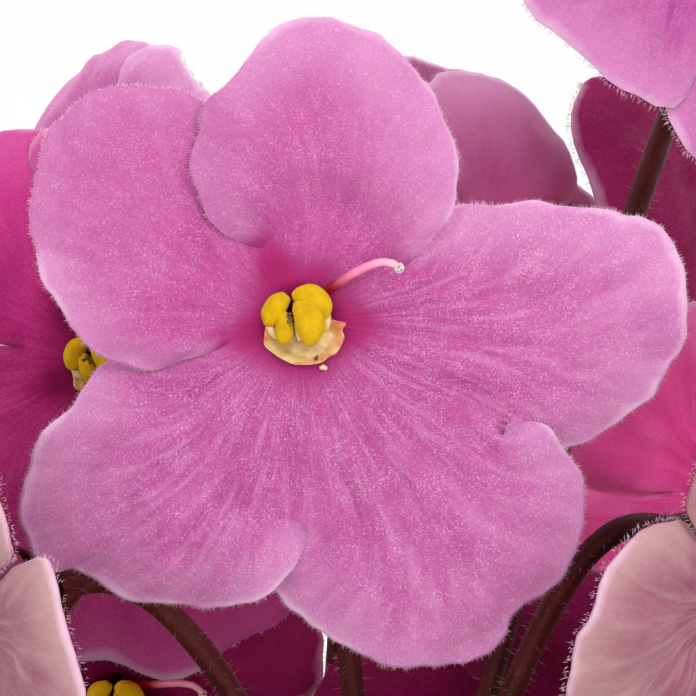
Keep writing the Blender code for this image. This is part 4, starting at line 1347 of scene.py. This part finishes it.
def lumps(surface, centres, sizes, dice, slot, flatness):
    """Many small uneven balls, each a grid of five by six, stretched and turned at random."""
    up = np.linspace(-math.pi / 2, math.pi / 2, 5)[:, None]
    turn = np.linspace(0, TAU, 6, endpoint=False)[None]
    ball = turned(np.cos(up), turn, np.sin(up)).reshape(-1, 3)
    count = len(centres)
    uneven = 1 + dice.uniform(-0.22, 0.22, (count, len(ball), 1))
    uneven[:, :6] = uneven[:, :1]
    uneven[:, -6:] = uneven[:, -1:]
    long, wide = dice.uniform(0.7, 1.3, count), dice.uniform(0.5, 1.0, count)
    stretch = np.stack([long, wide, np.full(count, flatness)], axis=1)
    shaped = ball[None] * uneven * stretch[:, None]
    way = dice.uniform(0, TAU, count)[:, None]
    c, s = np.cos(way), np.sin(way)
    x = shaped[..., 0] * c - shaped[..., 1] * s
    y = shaped[..., 0] * s + shaped[..., 1] * c
    points = np.stack([x, y, shaped[..., 2]], axis=-1) * sizes[:, None, None] + centres[:, None]
    faces = grid_faces(5, 6, True)[None] + np.arange(count)[:, None, None] * len(ball)
    surface.add(points, faces.reshape(-1, 4), slot)


def soil_materials():
    made = []
    for name, low, high, scale, rough in (
        ("peat", rgb(26, 18, 13), rgb(66, 46, 32), 700.0, 0.9),
        ("bark_bit", rgb(52, 32, 20), rgb(104, 70, 44), 900.0, 0.8),
        ("perlite_bit", rgb(206, 202, 192), rgb(242, 240, 234), 1200.0, 0.75),
    ):
        look, tree, shader = new_material(name, Roughness=rough)
        here = place_coords(tree)
        drift = noise(tree, here, scale, 5.0, 0.65)
        paint(tree, shader, mix(tree, spread(tree, drift, 0.36, 0.66), low, high))
        roughen(tree, shader, 0.9, 0.0006, drift)
        made.append(look)
    return made


def drain_spokes():
    """Directions from a drain hole's middle, in its own sixth of the floor, that meet every corner of the sixth."""
    corners = []
    for sign in (-1, 1):
        edge = np.array((POT_SOLE * math.cos(TAU / 12), sign * POT_SOLE * math.sin(TAU / 12)))
        corners.append(math.atan2(edge[1], edge[0] - DRAIN_RING))
    even = np.linspace(-math.pi, math.pi, 61)[1:]
    return np.sort(np.r_[even, corners])


def sixth_reach(ways):
    """How far each spoke runs from the hole's middle to the border of its sixth: two straight sides and the rim."""
    dx, dy = np.cos(ways), np.sin(ways)
    best = -DRAIN_RING * dx + np.sqrt((DRAIN_RING * dx) ** 2 + POT_SOLE**2 - DRAIN_RING**2)
    for sign in (-1, 1):
        nx, ny = -math.sin(TAU / 12), sign * math.cos(TAU / 12)
        along = nx * dx + ny * dy
        reach = np.where(along > 1e-6, -nx * DRAIN_RING / np.maximum(along, 1e-6), 1e9)
        best = np.minimum(best, reach)
    return best


def make_pot(looks):
    """The pot: a turned wall with a rolled rim, fine mould lines and a slightly uneven skin, and a floor of six
    equal parts, each with a round drain hole. Holes are walled between the two faces of the floor."""
    ways = drain_spokes()
    reach = sixth_reach(ways)
    rim_x, rim_y = DRAIN_RING + reach * np.cos(ways), reach * np.sin(ways)
    on_rim = np.hypot(rim_x, rim_y) > POT_SOLE - 1e-6
    rim_ways = np.sort(np.arctan2(rim_y[on_rim], rim_x[on_rim]))[:-1]
    sixths = (np.arange(6) + 0.5) * TAU / 6
    turn = np.sort((sixths[:, None] + rim_ways[None]).reshape(-1))[None]
    surface = Surface()
    rim_base = POT_HEIGHT - RIM_HEIGHT
    wall = pot_inner(rim_base) + POT_WALL
    inner_top = pot_inner(POT_HEIGHT)
    outer = smooth_joint(
        ((POT_SOLE, 0), (POT_BASE - 1, 0), (POT_BASE, 1),
         (wall - 0.05, rim_base - 2.2), (wall + 0.2, rim_base - 0.6),
         (POT_TOP - 1.5, rim_base), (POT_TOP - 0.75, rim_base + 0.8), (POT_TOP - 0.35, rim_base + 8),
         (POT_TOP, POT_HEIGHT - 1.6), (POT_TOP - 0.25, POT_HEIGHT - 0.5), (POT_TOP - 1.0, POT_HEIGHT - 0.02),
         (inner_top + 1.0, POT_HEIGHT - 0.02), (inner_top + 0.3, POT_HEIGHT - 0.3),
         (inner_top, POT_HEIGHT - 1.2), (pot_inner(60), 60), (pot_inner(20), 20),
         (pot_inner(POT_FLOOR + 1.2), POT_FLOOR + 1.2), (pot_inner(POT_FLOOR) - 1.2, POT_FLOOR),
         (POT_SOLE, POT_FLOOR)))
    radius, up = outer[:, :1], outer[:, 1:]
    outside = (np.arange(len(outer))[:, None] < np.argmax(outer[:, 1])) & (up > 2) & (up < rim_base - 3)
    mould = 0.05 * np.sin(TAU * up / 2.2) * outside
    warp = 0.12 * ripple(81, 1.2, np.cos(turn), np.sin(turn), up / 60)
    warp = warp * ease((up - 4) / 20) * (up < POT_HEIGHT - 1)
    grown = radius + np.minimum(mould + warp - 0.17, 0) * (radius > POT_SOLE + 0.5)
    columns = turn.shape[1]
    height = np.repeat(outer[:, 1] / POT_HEIGHT, columns)
    surface.add(turned(grown, turn, up), grid_faces(len(outer), columns, True), 0, up=height)
    circle = np.stack([DRAIN_RING + DRAIN_RADIUS * np.cos(ways), DRAIN_RADIUS * np.sin(ways)], axis=-1)
    border = np.stack([rim_x, rim_y], axis=-1)
    s = np.linspace(0, 1, 8)[:, None, None]
    sheet = circle * (1 - s) + border * s
    for middle in sixths:
        c, n = math.cos(middle), math.sin(middle)
        x = sheet[..., 0] * c - sheet[..., 1] * n
        y = sheet[..., 0] * n + sheet[..., 1] * c
        below = np.stack([x, y, 0 * x], axis=-1)
        above = np.stack([x, y, 0 * x + POT_FLOOR], axis=-1)
        surface.add(below, grid_faces(8, len(ways), True)[:, ::-1], 0)
        surface.add(above, grid_faces(8, len(ways), True), 0)
        levels = np.linspace(0, 1, 4)[:, None, None]
        tunnel = below[:1] * (1 - levels) + above[:1] * levels
        surface.add(tunnel, grid_faces(4, len(ways), True)[:, ::-1], 0)
    thing = surface.make("pot_shell", looks, weld=0.002)
    settle(thing, "pot")


def smooth_joint(knots):
    """A profile through the knots, cut finer along its long straight runs."""
    knots = np.asarray(knots, float)
    line = [knots[:1]]
    for a, b in zip(knots[:-1], knots[1:]):
        pieces = max(1, int(np.linalg.norm(b - a) / 0.55)) if abs(b[1] - a[1]) > 2 else 3
        share = np.linspace(0, 1, pieces + 1)[1:, None]
        line.append(a * (1 - share) + b * share)
    return np.concatenate(line)


def pot_materials():
    look, tree, shader = new_material("pot_plastic", Specular_IOR_Level=0.5)
    here = place_coords(tree)
    drift = noise(tree, here, 18.0, 4.0)
    fine = noise(tree, here, 900.0, 3.0)
    scratch = noise(tree, scaled(tree, here, (1.0, 1.0, 22.0)), 120.0, 3.0, 0.7)
    up = attribute(tree, "up")
    colour = mix(tree, spread(tree, drift, 0.3, 0.7), rgb(146, 78, 52), rgb(166, 94, 64))
    dust = spread(tree, noise(tree, here, 70.0, 5.0, 0.65), 0.45, 0.7)
    dust = times(tree, dust, spread(tree, up, 0.75, 1.0, 0.12, 0.7))
    colour = mix(tree, dust, colour, rgb(192, 160, 138))
    splash = times(tree, spread(tree, noise(tree, here, 260.0, 4.0, 0.6), 0.6, 0.72), 0.4)
    colour = mix(tree, splash, colour, rgb(70, 44, 32))
    worn = spread(tree, scratch, 0.62, 0.75, 0.0, 0.3)
    colour = mix(tree, worn, colour, rgb(196, 130, 100))
    paint(tree, shader, colour)
    rough = plus(tree, spread(tree, fine, 0.3, 0.7, 0.34, 0.46), times(tree, dust, 0.3))
    plug(tree, rough, shader.inputs["Roughness"])
    height = plus(tree, times(tree, fine, 0.5), scratch)
    roughen(tree, shader, 0.18, 0.0002, height)
    return [look]


# ---- camera, light and floor


# what the camera frames, in mm: the width seen, and its middle counted right and up from the main flower's throat
VIEW_WIDTH, VIEW_SHIFT = 39.3, (2.7, -1.5, 0)
# lights: place and target in metres, width of the disk, watts
LIGHTS = {
    "key": ((0.45, -0.7, 0.75), (0, 0, 0.16), 0.4, 3.2),
    "fill": ((-0.65, -0.6, 0.04), (0, 0, 0.16), 0.6, 1.7),
    "back": ((-0.25, 0.6, 0.6), (0, 0, 0.17), 0.6, 2.0),
}
FLOOR_HALF = 6.0


def put(thing, axes, place):
    """Turns an object to these axes and moves it to its place."""
    matrix = np.eye(4)
    matrix[:3, :3] = axes
    matrix[:3, 3] = place
    thing.matrix_world = Matrix(matrix.tolist())


def make_camera():
    """A long lens that looks ten degrees down at the main flower, a little right of and below its throat."""
    camera = bpy.data.cameras.new("camera")
    camera.lens = 200
    camera.sensor_width = 36
    camera.clip_start = 0.005
    camera.clip_end = 50
    _, place, direction, turn, _, _ = FLOWERS[0]
    axes = facing(direction, turn)
    target = (np.array(place) + axes @ np.array(VIEW_SHIFT)) * MM
    away = VIEW_WIDTH * MM * camera.lens / camera.sensor_width
    thing = linked("camera", camera)
    put(thing, axes, target + axes[:, 2] * away)
    bpy.context.scene.camera = thing


def make_light(name, place, target, size, power):
    """A disk light at its place, turned to the target."""
    lamp = bpy.data.lights.new(name, "AREA")
    lamp.shape = "DISK"
    lamp.size = size
    lamp.energy = power
    put(linked(name, lamp), facing(np.subtract(place, target), 0), place)


def make_studio():
    """White surroundings, a wide pale floor and three soft lights."""
    world = bpy.data.worlds.new("studio")
    bpy.context.scene.world = world
    world.use_nodes = True
    world.node_tree.nodes["Background"].inputs["Color"].default_value = (1, 0.985, 0.99, 1)
    world.node_tree.nodes["Background"].inputs["Strength"].default_value = 1.06
    bpy.context.scene.view_settings.view_transform = "Standard"
    made, tree, shader = new_material("floor_paint", Roughness=0.8)
    drift = noise(tree, place_coords(tree), 3.0, 2.0)
    paint(tree, shader, mix(tree, drift, (0.93, 0.93, 0.925, 1), (0.95, 0.95, 0.95, 1)))
    mesh = bpy.data.meshes.new("floor")
    corners = [(x * FLOOR_HALF, y * FLOOR_HALF, 0) for x, y in ((-1, -1), (1, -1), (1, 1), (-1, 1))]
    mesh.from_pydata(corners, [], [(0, 1, 2, 3)])
    mesh.materials.append(made)
    floor = linked("floor", mesh)
    for name, light in LIGHTS.items():
        make_light(name, *light)


# ---- everything in order


def build():
    make_camera()
    make_studio()
    petal_looks = petal_materials(petal_group())
    petal_hair = hair_material("petal_hair", rgb(246, 200, 226))
    anther_looks, pistil_looks, stem_looks = anther_materials(), pistil_materials(), stem_materials()
    for number, flower in enumerate(FLOWERS, 1):
        make_corolla(number, flower, petal_looks, petal_hair)
        make_stamens(number, flower, anther_looks)
        make_pistil(number, flower, pistil_looks)
    for index in range(1, len(STEMS) + 1):
        make_stem(index, stem_looks)
    for number, bud in enumerate(BUDS, 1):
        make_bud(number, bud, petal_looks, petal_hair)
    leaf_looks = leaf_materials()
    number = 0
    for tier in LEAF_TIERS:
        for index in range(tier[0]):
            number += 1
            make_leaf(number, tier, tier[1] + 360 * index / tier[0], leaf_looks)
    make_crown(crown_materials())
    make_soil(soil_materials())
    make_pot(pot_materials())


build()
